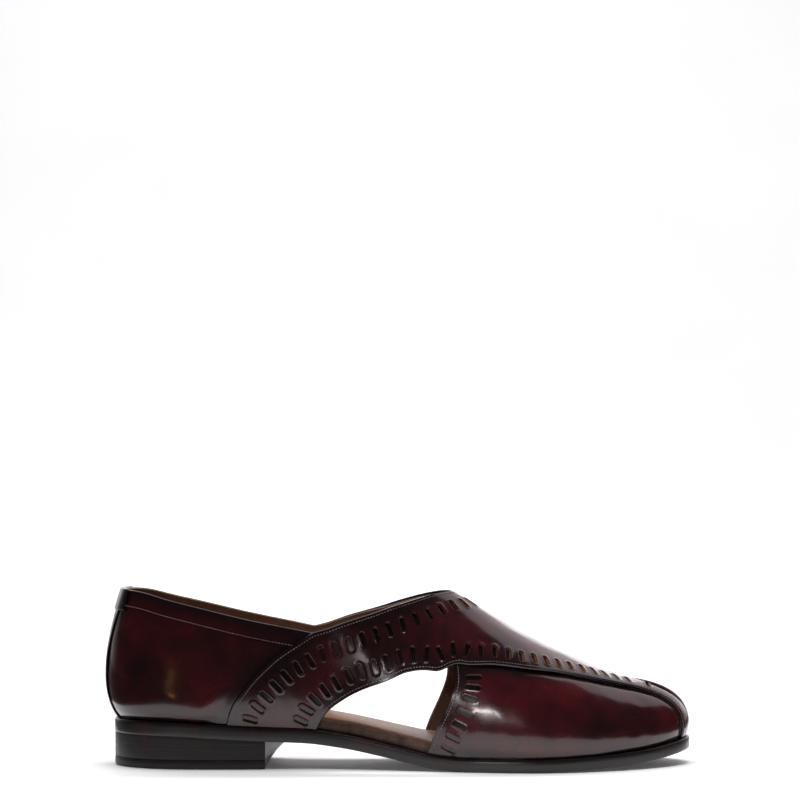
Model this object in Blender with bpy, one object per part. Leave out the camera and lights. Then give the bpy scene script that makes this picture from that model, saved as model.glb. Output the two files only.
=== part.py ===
"""Peshawari chappal, a closed slip-on with open waists, right foot, at real size.

Units are metres, +Z is up, the toe points to +X and the outer side of the foot is at -Y.
The origin is the middle of the heel's flat underside, on the floor.

Lengths along the shoe are measured from the back of the heel as shares of SOLE_LENGTH.
Sections of the upper are cubic curves that rise from the feather line, where upper and
sole meet, to the ridge over the toes and instep, or to the ankle above the collar.
"""

import math
from collections import namedtuple

import bpy
import numpy as np

# Sole
SOLE_LENGTH = 0.298
BALL_WIDTH = 0.098
WAIST_WIDTH = 0.0565
HEEL_WIDTH = 0.066
TOE_WIDTH = 0.068
TIP_SWING = 0.007
SOLE_THICKNESS = 0.0062
SEAT_THICKNESS = 0.0072
SOLE_EDGE_ROUND = 0.0009
TOE_SPRING = 0.0080
HEEL_HEIGHT = 0.0170
HEEL_LENGTH = 0.079
HEEL_SETBACK = 0.0004
TOP_PIECE_THICKNESS = 0.0046
BREAST_SLOPE = 1.1
INSOLE_THICKNESS = 0.0055
SOCK_THICKNESS = 0.0012
SOCK_INSET = 0.0006

# Upper
UPPER_WALL = 0.0018
FEATHER_INSET_HEEL = 0.0019
FEATHER_INSET_TOE = 0.0034
BACK_HEIGHT = 0.0900
NOTCH_HEIGHT = 0.0690
INSTEP_HEIGHT = 0.0876
TOE_BOX_HEIGHT = 0.0421
ANKLE_HEIGHT = 0.1120
ANKLE_WIDTH = 0.0510

# Strap, back strip and punched slots
STRAP_THICKNESS = 0.0013
STRAP_WIDTH = 0.030
BACK_STRIP_THICKNESS = 0.0010
BACK_STRIP_HALF_WIDTH = 0.0150
TOE_STRIP_HALF_WIDTH = 0.0115
SLOT_LENGTH = 0.0080
SLOT_WIDTH = 0.0026
SLOT_POINT = 0.0010
UPPER_ROW_INSET = 0.0108
LOWER_ROW_INSET_LEG = 0.0088
LOWER_ROW_INSET_TOE = 0.0066
PANEL_ROW_INSET = 0.0092
PANEL_SLOT_DEPTH = 0.0008

# Gaps between the pieces, and how far the cutters reach
FIT_GAP = 0.0003
STRAP_GAP = 0.0006
CUT_OUT_TUCK = 0.0006
CORNER_CLEARANCE = 0.0015
WAIST_DROP = 0.012
CUTTER_REACH = 0.002

# Grids: columns of each stretch, between places that a stretch starts and ends at
OUTLINE_STATIONS = 29
HEEL_STATIONS = 9
END_CROWDING = 0.019
UPPER_ROWS = 8
STRAP_ROWS = 5
Stretch = namedtuple("Stretch", "start end columns")
STRAP_STRETCHES = (
    Stretch(0.0, 1.0, 7),
    Stretch(1.0, 2.0, 9),
    Stretch(2.0, 2.3, 5),
    Stretch(2.3, 3.0, 6),
    Stretch(3.0, 4.0, 5),
)

OUTER, INNER = -1, 1

OutlineRow = namedtuple("OutlineRow", "along follows outer inner")
OUTLINE = (
    OutlineRow(0.030, HEEL_WIDTH, 0.311, 0.311),
    OutlineRow(0.081, HEEL_WIDTH, 0.447, 0.440),
    OutlineRow(0.151, HEEL_WIDTH, 0.500, 0.485),
    OutlineRow(0.221, HEEL_WIDTH, 0.500, 0.480),
    OutlineRow(0.299, WAIST_WIDTH, 0.557, 0.500),
    OutlineRow(0.379, WAIST_WIDTH, 0.557, 0.442),
    OutlineRow(0.460, WAIST_WIDTH, 0.620, 0.434),
    OutlineRow(0.540, BALL_WIDTH, 0.418, 0.291),
    OutlineRow(0.621, BALL_WIDTH, 0.480, 0.383),
    OutlineRow(0.681, BALL_WIDTH, 0.510, 0.449),
    OutlineRow(0.721, BALL_WIDTH, 0.516, 0.480),
    OutlineRow(0.779, BALL_WIDTH, 0.492, 0.495),
    OutlineRow(0.849, TOE_WIDTH, 0.596, 0.662),
    OutlineRow(0.909, TOE_WIDTH, 0.441, 0.559),
    OutlineRow(0.950, TOE_WIDTH, 0.294, 0.456),
    OutlineRow(0.980, TOE_WIDTH, 0.147, 0.338),
)

# Height of the sole's underside: heel is a share of HEEL_HEIGHT, spring of TOE_SPRING
UndersideRow = namedtuple("UndersideRow", "along heel spring")
UNDERSIDE = (
    UndersideRow(0.000, 1.00, 0.00),
    UndersideRow(0.094, 0.98, 0.00),
    UndersideRow(0.181, 0.90, 0.00),
    UndersideRow(0.265, 0.82, 0.00),
    UndersideRow(0.332, 0.77, 0.00),
    UndersideRow(0.403, 0.61, 0.00),
    UndersideRow(0.453, 0.44, 0.00),
    UndersideRow(0.503, 0.25, 0.00),
    UndersideRow(0.555, 0.07, 0.00),
    UndersideRow(0.600, 0.00, 0.00),
    UndersideRow(0.722, 0.00, 0.00),
    UndersideRow(0.836, 0.00, 0.17),
    UndersideRow(0.893, 0.00, 0.33),
    UndersideRow(0.940, 0.00, 0.54),
    UndersideRow(0.975, 0.00, 0.78),
    UndersideRow(1.000, 0.00, 1.00),
)

# Places along the shoe: where the collar dips and ends, where the edges of the strap's leg and
# of the toe panel reach the sole, and the places on the strap's lower edge that lie across from
# the ridge's front end, the throat and the notch
Places = namedtuple(
    "Places", "notch throat leg_front leg_rear panel_foot across_ridge across_throat across_notch")
AT = Places(notch=0.3465, throat=0.586, leg_front=0.351, leg_rear=0.197, panel_foot=0.5445,
            across_ridge=0.880, across_throat=0.628, across_notch=0.430)

# Ridge of the bare upper: rise is 0 at TOE_BOX_HEIGHT and 1 at INSTEP_HEIGHT, and above 1
# it is the line of the instep carried on behind the throat
RidgeRow = namedtuple("RidgeRow", "along rise swing")
RIDGE = (
    RidgeRow(0.440, 1.500, 0.00),
    RidgeRow(0.500, 1.320, 0.00),
    RidgeRow(0.545, 1.140, 0.00),
    RidgeRow(AT.throat, 1.000, 0.00),
    RidgeRow(0.617, 0.881, 0.00),
    RidgeRow(0.652, 0.734, 0.00),
    RidgeRow(0.704, 0.534, 0.00),
    RidgeRow(0.756, 0.360, 0.10),
    RidgeRow(0.808, 0.209, 0.22),
    RidgeRow(0.860, 0.073, 0.38),
    RidgeRow(0.899, 0.000, 0.54),
)

# Collar of the quarters: rise is 0 at NOTCH_HEIGHT and 1 at BACK_HEIGHT
ToplineRow = namedtuple("ToplineRow", "along rise")
QUARTER_TOPLINE = (
    ToplineRow(-0.030, 1.000),
    ToplineRow(0.030, 1.000),
    ToplineRow(0.062, 0.929),
    ToplineRow(0.085, 0.838),
    ToplineRow(0.140, 0.643),
    ToplineRow(0.205, 0.419),
    ToplineRow(0.245, 0.290),
    ToplineRow(0.297, 0.143),
    ToplineRow(AT.notch, 0.000),
)
# Collar along the strap: rise is 0 at NOTCH_HEIGHT and 1 at INSTEP_HEIGHT
THROAT_TOPLINE = (
    ToplineRow(AT.notch, 0.000),
    ToplineRow(0.363, 0.064),
    ToplineRow(0.401, 0.270),
    ToplineRow(0.440, 0.457),
    ToplineRow(0.478, 0.640),
    ToplineRow(0.517, 0.830),
    ToplineRow(0.537, 0.915),
    ToplineRow(0.556, 0.975),
    ToplineRow(0.571, 1.005),
    ToplineRow(AT.throat, 1.000),
)

# Sections of the upper, from the back of the heel to the tip of the toe. foot is where one
# starts on the feather line and top where it ends. side and height place the ends above the
# collar, as shares of ANKLE_WIDTH and ANKLE_HEIGHT, and are None where it ends on the ridge.
# The low handle leans out by degrees from upright, the top one drops by degrees from level
# and turns by degrees from straight across towards the toe. Both pulls are shares of the
# straight distance from foot to top.
Section = namedtuple(
    "Section", "foot top side height lean_outer lean_inner low_pull drop turn top_pull")
SECTIONS = (
    Section(0.000, 0.044, 0.000, 1.000, 38, 38, 0.245, 65, -90, 0.335),
    Section(0.030, 0.056, 0.215, 1.000, 32, 32, 0.245, 70, -48, 0.325),
    Section(0.100, 0.106, 0.400, 0.992, 24, 25, 0.245, 77, -18, 0.310),
    Section(0.200, 0.195, 0.495, 0.975, 18, 22, 0.250, 80, 0, 0.300),
    Section(0.300, 0.285, 0.490, 0.965, 15, 25, 0.260, 78, 0, 0.290),
    Section(0.385, 0.362, 0.390, 0.955, 12, 30, 0.275, 70, 0, 0.280),
    Section(0.462, 0.430, 0.220, 0.945, 12, 32, 0.300, 52, 0, 0.275),
    Section(0.520, 0.485, None, None, 13, 29, 0.330, 28, 0, 0.265),
    Section(0.572, 0.536, None, None, 15, 24, 0.360, 11, 0, 0.250),
    Section(0.622, AT.throat, None, None, 18, 21, 0.390, 0, 0, 0.240),
    Section(0.720, 0.690, None, None, 20, 20, 0.420, 0, 0, 0.320),
    Section(0.820, 0.790, None, None, 20, 20, 0.420, 0, 4, 0.390),
    Section(0.905, 0.856, None, None, 20, 20, 0.400, 0, 22, 0.460),
    Section(0.968, 0.888, None, None, 20, 20, 0.385, 0, 56, 0.545),
    Section(1.000, 0.899, None, None, 19, 19, 0.375, 0, 90, 0.610),
)

# Edges seen from the side: height is a share of the height of the shoe's profile at that place
EdgeRow = namedtuple("EdgeRow", "along height")
STRAP_LOWER_EDGE = (
    EdgeRow(0.962, 0.874),
    EdgeRow(0.938, 0.904),
    EdgeRow(0.892, 0.939),
    EdgeRow(0.829, 0.909),
    EdgeRow(0.768, 0.852),
    EdgeRow(0.708, 0.777),
    EdgeRow(0.648, 0.700),
    EdgeRow(0.593, 0.625),
    EdgeRow(0.528, 0.596),
    EdgeRow(0.466, 0.559),
    EdgeRow(0.415, 0.513),
    EdgeRow(0.392, 0.473),
    EdgeRow(0.365, 0.391),
)
STRAP_REAR_EDGE = (
    EdgeRow(0.317, 0.896),
    EdgeRow(0.291, 0.809),
    EdgeRow(0.271, 0.729),
    EdgeRow(0.244, 0.608),
    EdgeRow(0.224, 0.499),
    EdgeRow(0.209, 0.407),
)
PANEL_REAR_EDGE = (
    EdgeRow(0.560, 0.255),
    EdgeRow(0.577, 0.376),
    EdgeRow(0.589, 0.501),
    EdgeRow(0.587, 0.629),
)
# Corners along the strap, the places of the strip at which its upper edge turns
TOE_FOOT, RIDGE_END, THROAT_CORNER, NOTCH_CORNER, LEG_FOOT = range(5)
# Rows of slots on one side: how many, and the place of the strip at which the row starts. The
# panel's row runs from the sole to a share of the wall
SlotRow = namedtuple("SlotRow", "count start")
LOWER_ROW = SlotRow(30, 0.7)
UPPER_ROW = SlotRow(20, 1.2)
PanelSlots = namedtuple("PanelSlots", "count top")
PANEL_ROW = PanelSlots(7, 0.76)

# Width of the back strip up the height of the quarter, as a share of that at its top, measured
# round the heel
StripRow = namedtuple("StripRow", "up width")
BACK_STRIP = (
    StripRow(0.00, 0.633),
    StripRow(0.25, 0.467),
    StripRow(0.50, 0.440),
    StripRow(0.75, 0.587),
    StripRow(0.90, 0.880),
    StripRow(1.00, 1.000),
)

BACK_X = -0.5 * HEEL_LENGTH
HEEL_FRONT_X = BACK_X + HEEL_LENGTH


def clear_scene():
    """Remove what the file holds, so that the script can be run again."""
    for item in list(bpy.data.objects):
        bpy.data.objects.remove(item, do_unlink=True)


def column(rows, name):
    """One named column of a table, as an array."""
    return np.array([getattr(row, name) for row in rows], dtype=float)


def spline(xs, ys, start=None, end=None):
    """Cubic spline through the points, with the end slopes given or left natural."""
    xs, ys = np.asarray(xs, float), np.asarray(ys, float)
    step = np.diff(xs)
    rise = np.diff(ys, axis=0) / step.reshape((-1,) + (1,) * (ys.ndim - 1))
    system = np.zeros((len(xs), len(xs)))
    right = np.zeros_like(ys)
    for i in range(1, len(xs) - 1):
        system[i, i - 1:i + 2] = step[i], 2 * (step[i - 1] + step[i]), step[i - 1]
        right[i] = 3 * (step[i] * rise[i - 1] + step[i - 1] * rise[i])
    system[0, :2], right[0] = (2, 1), 3 * rise[0]
    if start is not None:
        system[0, :2], right[0] = (1, 0), start
    system[-1, -2:], right[-1] = (1, 2), 3 * rise[-1]
    if end is not None:
        system[-1, -2:], right[-1] = (0, 1), end
    return hermite(xs, ys, np.linalg.solve(system, right))


def steady(xs, ys):
    """Curve through the points that stays level between two equal ones."""
    xs, ys = np.asarray(xs, float), np.asarray(ys, float)
    step = np.diff(xs)
    rise = np.diff(ys) / step
    before, after = rise[:-1], rise[1:]
    same_way = before * after > 0
    first = 2 * step[1:] + step[:-1]
    second = step[1:] + 2 * step[:-1]
    safe_before = np.where(same_way, before, 1)
    safe_after = np.where(same_way, after, 1)
    grade = np.concatenate([[rise[0]], np.zeros(len(xs) - 2), [rise[-1]]])
    grade[1:-1] = np.where(same_way, (first + second) / (first / safe_before + second / safe_after), 0)
    return hermite(xs, ys, grade)


def hermite(xs, ys, grade):
    """Piecewise cubic with the given slopes at its points."""
    def at(x):
        x = np.clip(x, xs[0], xs[-1])
        i = np.clip(np.searchsorted(xs, x, side="right") - 1, 0, len(xs) - 2)
        span = xs[i + 1] - xs[i]
        u = (x - xs[i]) / span
        if ys.ndim == 2:
            u, span = u[..., None], span[..., None]
        return (ys[i] * (1 + 2 * u) * (1 - u) ** 2 + ys[i + 1] * u * u * (3 - 2 * u)
                + grade[i] * span * u * (1 - u) ** 2 - grade[i + 1] * span * u * u * (1 - u))
    return at


def along_to_x(along):
    """Place along the shoe, in metres from the origin."""
    return BACK_X + np.asarray(along, float) * SOLE_LENGTH


def unit(vectors):
    """Vectors of length one."""
    return vectors / np.linalg.norm(vectors, axis=-1, keepdims=True)


def run_lengths(points):
    """Distance run along a line of points, from its first one."""
    return np.concatenate([[0], np.cumsum(np.linalg.norm(np.diff(points, axis=0), axis=1))])


underside = steady(
    along_to_x(column(UNDERSIDE, "along")),
    column(UNDERSIDE, "heel") * HEEL_HEIGHT + column(UNDERSIDE, "spring") * TOE_SPRING)
sole_depth = steady(along_to_x([0, 0.30, 0.62, 1.0]),
                    [SEAT_THICKNESS, SEAT_THICKNESS, SOLE_THICKNESS, SOLE_THICKNESS])


def sole_top(x):
    """Height of the sole's upper face."""
    return underside(x) + sole_depth(x)


class PlanLine:
    """The sole's plan outline set in by a distance, as one half from back to tip."""

    def __init__(self, side, inset_heel, inset_toe):
        share = column(OUTLINE, "outer" if side == OUTER else "inner")
        width = column(OUTLINE, "follows")
        points = np.column_stack([along_to_x(column(OUTLINE, "along")), side * share * width])
        back = np.array([[BACK_X, 0.0]])
        tip = np.array([[BACK_X + SOLE_LENGTH, TIP_SWING]])
        points = np.concatenate([back, points, tip])
        run = run_lengths(points)
        curve = spline(run, points, start=(0, side), end=(0, -side))
        dense = curve(np.linspace(0, run[-1], 601))
        tangent = unit(np.gradient(dense, axis=0))
        outward = side * np.column_stack([-tangent[:, 1], tangent[:, 0]])
        outward[0], outward[-1] = (-1, 0), (1, 0)
        share_run = np.linspace(0, 1, 601)[:, None]
        inset = inset_heel + (inset_toe - inset_heel) * share_run
        self.points = dense - outward * inset
        self.outward = outward
        run = run_lengths(self.points)
        self.length = run[-1]
        self.share = run / run[-1]

    def at(self, share):
        """Points in plan at shares of the half's length."""
        return np.stack([np.interp(share, self.share, self.points[:, k]) for k in (0, 1)], -1)

    def normal(self, share):
        """Outward directions in plan."""
        return unit(np.stack([np.interp(share, self.share, self.outward[:, k]) for k in (0, 1)], -1))

    def share_at(self, x):
        """Share of the half's length at which it passes x."""
        return np.interp(x, self.points[:, 0], self.share)


FEATHER = {side: PlanLine(side, FEATHER_INSET_HEEL, FEATHER_INSET_TOE) for side in (OUTER, INNER)}

ridge_height = spline(along_to_x(column(RIDGE, "along")),
                      TOE_BOX_HEIGHT + column(RIDGE, "rise") * (INSTEP_HEIGHT - TOE_BOX_HEIGHT))
ridge_swing = spline(along_to_x(column(RIDGE, "along")), column(RIDGE, "swing") * TIP_SWING, start=0)
quarter_topline = spline(along_to_x(column(QUARTER_TOPLINE, "along")),
                         NOTCH_HEIGHT + column(QUARTER_TOPLINE, "rise") * (BACK_HEIGHT - NOTCH_HEIGHT))
throat_topline = spline(along_to_x(column(THROAT_TOPLINE, "along")),
                        NOTCH_HEIGHT + column(THROAT_TOPLINE, "rise") * (INSTEP_HEIGHT - NOTCH_HEIGHT))


def collar_height(x):
    """Height of the collar over a place along the shoe, above reach in front of the throat."""
    behind = np.where(x < along_to_x(AT.notch), quarter_topline(x), throat_topline(x))
    return np.where(x < along_to_x(AT.throat), behind, 1.0)


def foot_share(along):
    """Share of the feather line, on the outer side, at a place along the shoe."""
    line = FEATHER[OUTER]
    reach = line.points[0, 0] + np.asarray(along, float) * (line.points[-1, 0] - line.points[0, 0])
    return line.share_at(reach)


FIRST_ON_RIDGE = next(row for row in SECTIONS if row.side is None)
SECTION_SHARES = foot_share(column(SECTIONS, "foot"))
top_x = spline(SECTION_SHARES, along_to_x(column(SECTIONS, "top")), start=0, end=0)
ANKLE_SECTIONS = [row for row in SECTIONS if row.side is not None]
ANKLE_SHARES = SECTION_SHARES[:len(ANKLE_SECTIONS) + 1]
ankle_side = spline(ANKLE_SHARES, np.append(column(ANKLE_SECTIONS, "side"), 0.0) * ANKLE_WIDTH, end=0)
ankle_height = spline(
    ANKLE_SHARES,
    np.append(column(ANKLE_SECTIONS, "height") * ANKLE_HEIGHT,
              ridge_height(along_to_x(FIRST_ON_RIDGE.top))), start=0)
HANDLES = {name: spline(SECTION_SHARES, column(SECTIONS, name), start=0, end=0)
           for name in ("lean_outer", "lean_inner", "low_pull", "drop", "top_pull")}
HANDLES["turn"] = spline(SECTION_SHARES, column(SECTIONS, "turn"))


def section_points(s, side):
    """The four control points of the sections at shares s of the feather line."""
    line = FEATHER[side]
    foot_plan = line.at(s)
    foot = np.concatenate([foot_plan, (sole_top(foot_plan[..., 0]) + FIT_GAP)[..., None]], -1)
    outward = line.normal(s)
    x = top_x(s)
    on_ridge = s >= ANKLE_SHARES[-1]
    top = np.stack([x, np.where(on_ridge, ridge_swing(x), side * ankle_side(s)),
                    np.where(on_ridge, ridge_height(x), ankle_height(s))], -1)
    chord = np.linalg.norm(top - foot, axis=-1)[..., None]
    lean = np.radians(HANDLES["lean_outer" if side == OUTER else "lean_inner"](s))[..., None]
    low = np.concatenate([np.sin(lean) * outward, np.cos(lean)], -1)
    drop = np.radians(HANDLES["drop"](s))[..., None]
    turn = np.radians(HANDLES["turn"](s))[..., None]
    step = 1e-4
    forward = unit(np.stack([np.full_like(x, 2 * step), ridge_swing(x + step) - ridge_swing(x - step),
                             np.where(on_ridge, ridge_height(x + step) - ridge_height(x - step), 0)], -1))
    across = np.zeros_like(forward)
    across[..., 1] = side
    level = np.cos(turn) * across + np.sin(turn) * forward
    high = unit(np.cos(drop) * level + np.sin(drop) * np.array([0.0, 0.0, -1.0]))
    low_pull = HANDLES["low_pull"](s)[..., None]
    top_pull = HANDLES["top_pull"](s)[..., None]
    return foot, foot + low * chord * low_pull, top + high * chord * top_pull, top


def bezier(controls, t):
    """Points of cubic curves."""
    a, b, c, d = controls
    t = t[..., None]
    return a * (1 - t) ** 3 + 3 * b * t * (1 - t) ** 2 + 3 * c * t * t * (1 - t) + d * t ** 3


def collar_limit(s, side):
    """Parameter at which the sections at shares s reach the collar, or 1 on the ridge."""
    controls = section_points(s, side)
    low, high = np.zeros_like(s), np.ones_like(s)
    for _ in range(40):
        middle = 0.5 * (low + high)
        point = bezier(controls, middle)
        above = point[..., 2] > collar_height(point[..., 0])
        high = np.where(above, middle, high)
        low = np.where(above, low, middle)
    return np.where(low > 1 - 1e-6, 1.0, low)


LIMIT_SHARES = np.unique(np.concatenate([np.linspace(0, 1, 801), SECTION_SHARES]))
LIMITS = {side: collar_limit(LIMIT_SHARES, side) for side in (OUTER, INNER)}


THROAT_SECTION = [row.top for row in SECTIONS].index(AT.throat)
THROAT_SHARE = float(SECTION_SHARES[THROAT_SECTION])
SOFT_SHARES = np.append(SECTION_SHARES[:THROAT_SECTION + 1], 1.0)
SOFT_LIMITS = {side: steady(SOFT_SHARES, np.interp(SOFT_SHARES, LIMIT_SHARES, LIMITS[side]))
               for side in (OUTER, INNER)}


def upper_surface(s, up, side):
    """Outer face of the bare upper at shares s of the feather line and up of the wall. The corners
    of the collar show in the lines of equal up only near the collar."""
    s, up = np.broadcast_arrays(np.asarray(s, float), np.asarray(up, float))
    limit = np.interp(s, LIMIT_SHARES, LIMITS[side])
    soft = SOFT_LIMITS[side](s)
    return bezier(section_points(s, side), up * soft * (1 - (1 - limit / soft) * up ** 6))


def upper_normal(s, up, side):
    """Outward directions of the bare upper's face."""
    s, up = np.broadcast_arrays(np.asarray(s, float), np.asarray(up, float))
    step = 1e-3
    s0, s1 = np.clip(s - step, 0, 1), np.clip(s + step, 0, 1)
    up0, up1 = np.clip(up - step, 0, 1), np.clip(up + step, 0, 1)
    off_ridge = np.minimum(up, 0.97)
    along = upper_surface(s1, off_ridge, side) - upper_surface(s0, off_ridge, side)
    rising = upper_surface(s, up1, side) - upper_surface(s, up0, side)
    return side * unit(np.cross(rising, along))


def first_share(test, side=OUTER):
    """Smallest share of the feather line at which a test of the collar's points turns true."""
    points = upper_surface(LIMIT_SHARES, 1.0, side)
    return LIMIT_SHARES[np.argmax(test(points))]


NOTCH_SHARE = first_share(lambda points: points[:, 0] >= along_to_x(AT.notch))


def side_profile():
    """The shoe's profile in side view as places and heights: collar, ridge and front of the toe."""
    crest = upper_surface(LIMIT_SHARES, 1.0, OUTER)
    front = upper_surface(1.0, np.linspace(1, 0, 201), OUTER)
    line = np.concatenate([crest, front[1:]])
    return np.maximum.accumulate(line[:, 0]), line[:, 2]


def seen_from_side(rows):
    """Shares (s, up) of the points of the outer face that lie at the rows' places in side view."""
    x = along_to_x(column(rows, "along"))
    z = column(rows, "height") * np.interp(x, *side_profile())
    s_grid, up_grid = np.meshgrid(np.linspace(0, 1, 241), np.linspace(0, 1, 81), indexing="ij")
    grid = upper_surface(s_grid, up_grid, OUTER)
    found = []
    for target_x, target_z in zip(x, z):
        miss = (grid[..., 0] - target_x) ** 2 + (grid[..., 2] - target_z) ** 2
        i, j = np.unravel_index(np.argmin(miss), miss.shape)
        guess = np.array([s_grid[i, j], up_grid[i, j]])
        for _ in range(6):
            trial = guess + np.array([[0, 0], [1e-4, 0], [0, 1e-4]])
            points = upper_surface(trial[:, 0], trial[:, 1], OUTER)[:, (0, 2)]
            slope = ((points[1:] - points[0]) / 1e-4).T
            guess = guess + np.linalg.solve(slope, np.array([target_x, target_z]) - points[0])
            guess = np.clip(guess, 0.001, 0.999)
        found.append(guess)
    return np.array(found)


def smooth_path(shares, count=200):
    """Evenly run points of a smooth line through shares (s, up) of the outer face."""
    points = upper_surface(shares[:, 0], shares[:, 1], OUTER)
    run = run_lengths(points)
    return spline(run, shares)(np.linspace(0, run[-1], count))


def foot_on_feather(along):
    """Shares (s, 0) of the feather line's point at a place along the shoe."""
    return np.array([[float(foot_share(along)), 0.0]])


class Strap:
    """The vamp and its crossing straps as a strip: place runs from TOE_FOOT to LEG_FOOT, and across
    from 0 on the lower edge to 1 on the toe's middle, ridge, collar or rear edge."""

    def __init__(self):
        toe_foot = np.array([[1 - TOE_STRIP_HALF_WIDTH / FEATHER[OUTER].length, 0.0]])
        lower = smooth_path(np.concatenate(
            [toe_foot, seen_from_side(STRAP_LOWER_EDGE), foot_on_feather(AT.leg_front)]), 300)
        ramp = np.linspace(0, 1, 120)
        ones = np.ones_like(ramp)
        toe = np.column_stack([ones, ramp])
        ridge = np.column_stack([1 + (THROAT_SHARE - 1) * ramp, ones])
        collar = np.column_stack([THROAT_SHARE + (NOTCH_SHARE - THROAT_SHARE) * ramp, ones])
        rear = smooth_path(np.concatenate(
            [[[NOTCH_SHARE, 1.0]], seen_from_side(STRAP_REAR_EDGE), foot_on_feather(AT.leg_rear)]), 120)
        self.upper = np.concatenate([toe, ridge[1:], collar[1:], rear[1:]])
        self.lower = lower
        self.upper_run = run_lengths(upper_surface(self.upper[:, 0], self.upper[:, 1], OUTER))
        lower_points = upper_surface(lower[:, 0], lower[:, 1], OUTER)
        self.lower_run = run_lengths(lower_points)
        corner = len(ramp) - 1
        self.upper_marks = self.upper_run[[0, corner, 2 * corner, 3 * corner, -1]]
        self.lower_marks = np.array(
            [0] + [self.lower_run[np.argmax(lower_points[:, 0] < along_to_x(along))]
                   for along in (AT.across_ridge, AT.across_throat, AT.across_notch)]
            + [self.lower_run[-1]])

    def shares(self, place, across):
        """Shares (s, up) of the bare upper under a point of the strip."""
        place, across = np.broadcast_arrays(np.asarray(place, float), np.asarray(across, float))
        corners = (TOE_FOOT, RIDGE_END, THROAT_CORNER, NOTCH_CORNER, LEG_FOOT)
        low_run = np.interp(place, corners, self.lower_marks)
        top_run = np.interp(place, corners, self.upper_marks)
        parts = []
        for k in (0, 1):
            low = np.interp(low_run, self.lower_run, self.lower[:, k])
            top = np.interp(top_run, self.upper_run, self.upper[:, k])
            parts.append(low + (top - low) * across)
        return parts[0], parts[1]

    def surface(self, place, across, side):
        """Points of the bare upper's face under the strip."""
        s, up = self.shares(place, across)
        return upper_surface(s, up, side)


def split_evenly(stretches):
    """Places along a line, each stretch split evenly into its own count of columns."""
    pieces = [np.linspace(row.start, row.end, row.columns + 1)[:-1] for row in stretches]
    return np.concatenate(pieces + [[stretches[-1].end]])


def make_material(name, colour, roughness, metallic=0.0):
    """Plain surface colour for one piece."""
    material = bpy.data.materials.new(name)
    material.use_nodes = True
    shader = material.node_tree.nodes["Principled BSDF"]
    shader.inputs["Base Color"].default_value = (*colour, 1.0)
    shader.inputs["Roughness"].default_value = roughness
    shader.inputs["Metallic"].default_value = metallic
    return material


def add_object(name, points, faces, material):
    """One object from points and faces, turned so that its faces point out."""
    points = np.asarray(points, float)
    volume = 0.0
    for face in faces:
        for k in range(1, len(face) - 1):
            a, b, c = points[[face[0], face[k], face[k + 1]]]
            volume += np.dot(a, np.cross(b, c))
    if volume < 0:
        faces = [tuple(reversed(face)) for face in faces]
    mesh = bpy.data.meshes.new(name)
    mesh.from_pydata([tuple(point) for point in points], [], [tuple(map(int, face)) for face in faces])
    mesh.validate()
    mesh.shade_smooth()
    mesh.set_sharp_from_angle(angle=math.radians(40))
    if material:
        mesh.materials.append(material)
    item = bpy.data.objects.new(name, mesh)
    bpy.context.scene.collection.objects.link(item)
    return item


def cut_away(item, cutter):
    """Cut one object by another, which is kept as a hidden guide."""
    cutter.hide_render = True
    cutter.display_type = "WIRE"
    modifier = item.modifiers.new("cut_" + cutter.name, "BOOLEAN")
    modifier.operation = "DIFFERENCE"
    modifier.solver = "EXACT"
    modifier.object = cutter


def lofted_plate(name, rings, material):
    """Closed plate through rings of points that start at the back's middle and go round."""
    count = len(rings[0])
    faces = []
    for level in range(len(rings) - 1):
        for i in range(count):
            j = (i + 1) % count
            base = level * count
            faces.append((base + i, base + j, base + count + j, base + count + i))
    for base, turned in ((0, True), ((len(rings) - 1) * count, False)):
        for i in range(count // 2):
            corners = []
            for k in (i, i + 1, count - i - 1, (count - i) % count):
                if base + k not in corners:
                    corners.append(base + k)
            if len(corners) > 2:
                faces.append(tuple(reversed(corners)) if turned else tuple(corners))
    return add_object(name, np.concatenate(rings), faces, material)


def outline_shares():
    """Shares of a half outline, closer together where the heel and the toe turn tightest."""
    even = np.linspace(0, 1, OUTLINE_STATIONS + 1)
    return even - END_CROWDING * np.sin(2 * np.pi * even)


def closed_loop(outer, inner):
    """Both halves of an outline as one ring that starts at the back's middle."""
    return np.concatenate([outer, inner[::-1][1:-1]])


def plan_ring(inset, height):
    """Ring of points at an inset from the sole's outline and a height worked out from x."""
    halves = [PlanLine(side, inset, inset).at(outline_shares()) for side in (OUTER, INNER)]
    loop = closed_loop(*halves)
    return np.column_stack([loop, height(loop[:, 0])])


def heel_ring(inset, height):
    """Ring round the heel's plan, with its breast square across, at a height worked out from x."""
    halves = []
    for side in (OUTER, INNER):
        line = PlanLine(side, inset, inset)
        halves.append(line.at(line.share_at(HEEL_FRONT_X) * np.linspace(0, 1, HEEL_STATIONS + 1)))
    loop = np.concatenate([halves[0], halves[1][::-1][:-1]])
    return np.column_stack([loop, height(loop[:, 0])])


def make_outsole(material):
    """Outsole with its waist, flat tread and toe spring, its edge a little rounded."""
    def level(share):
        return lambda x: underside(x) + share * sole_depth(x)
    rings = [
        plan_ring(SOLE_EDGE_ROUND, level(0.0)),
        plan_ring(0.2 * SOLE_EDGE_ROUND, level(0.16)),
        plan_ring(0.0, level(0.5)),
        plan_ring(0.2 * SOLE_EDGE_ROUND, level(0.86)),
        plan_ring(SOLE_EDGE_ROUND, level(1.0)),
    ]
    return lofted_plate("outsole", rings, material)


def slanted_breast(ring):
    """Carry the inner corner of the heel's breast forward, the more the higher it is."""
    front = ring[:, 0] > ring[:, 0].max() - 1e-6
    inner_share = np.clip(ring[:, 1] / (0.5 * HEEL_WIDTH), 0, 1)
    ring[:, 0] += np.where(front, BREAST_SLOPE * inner_share * ring[:, 2], 0)
    return ring


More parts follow.
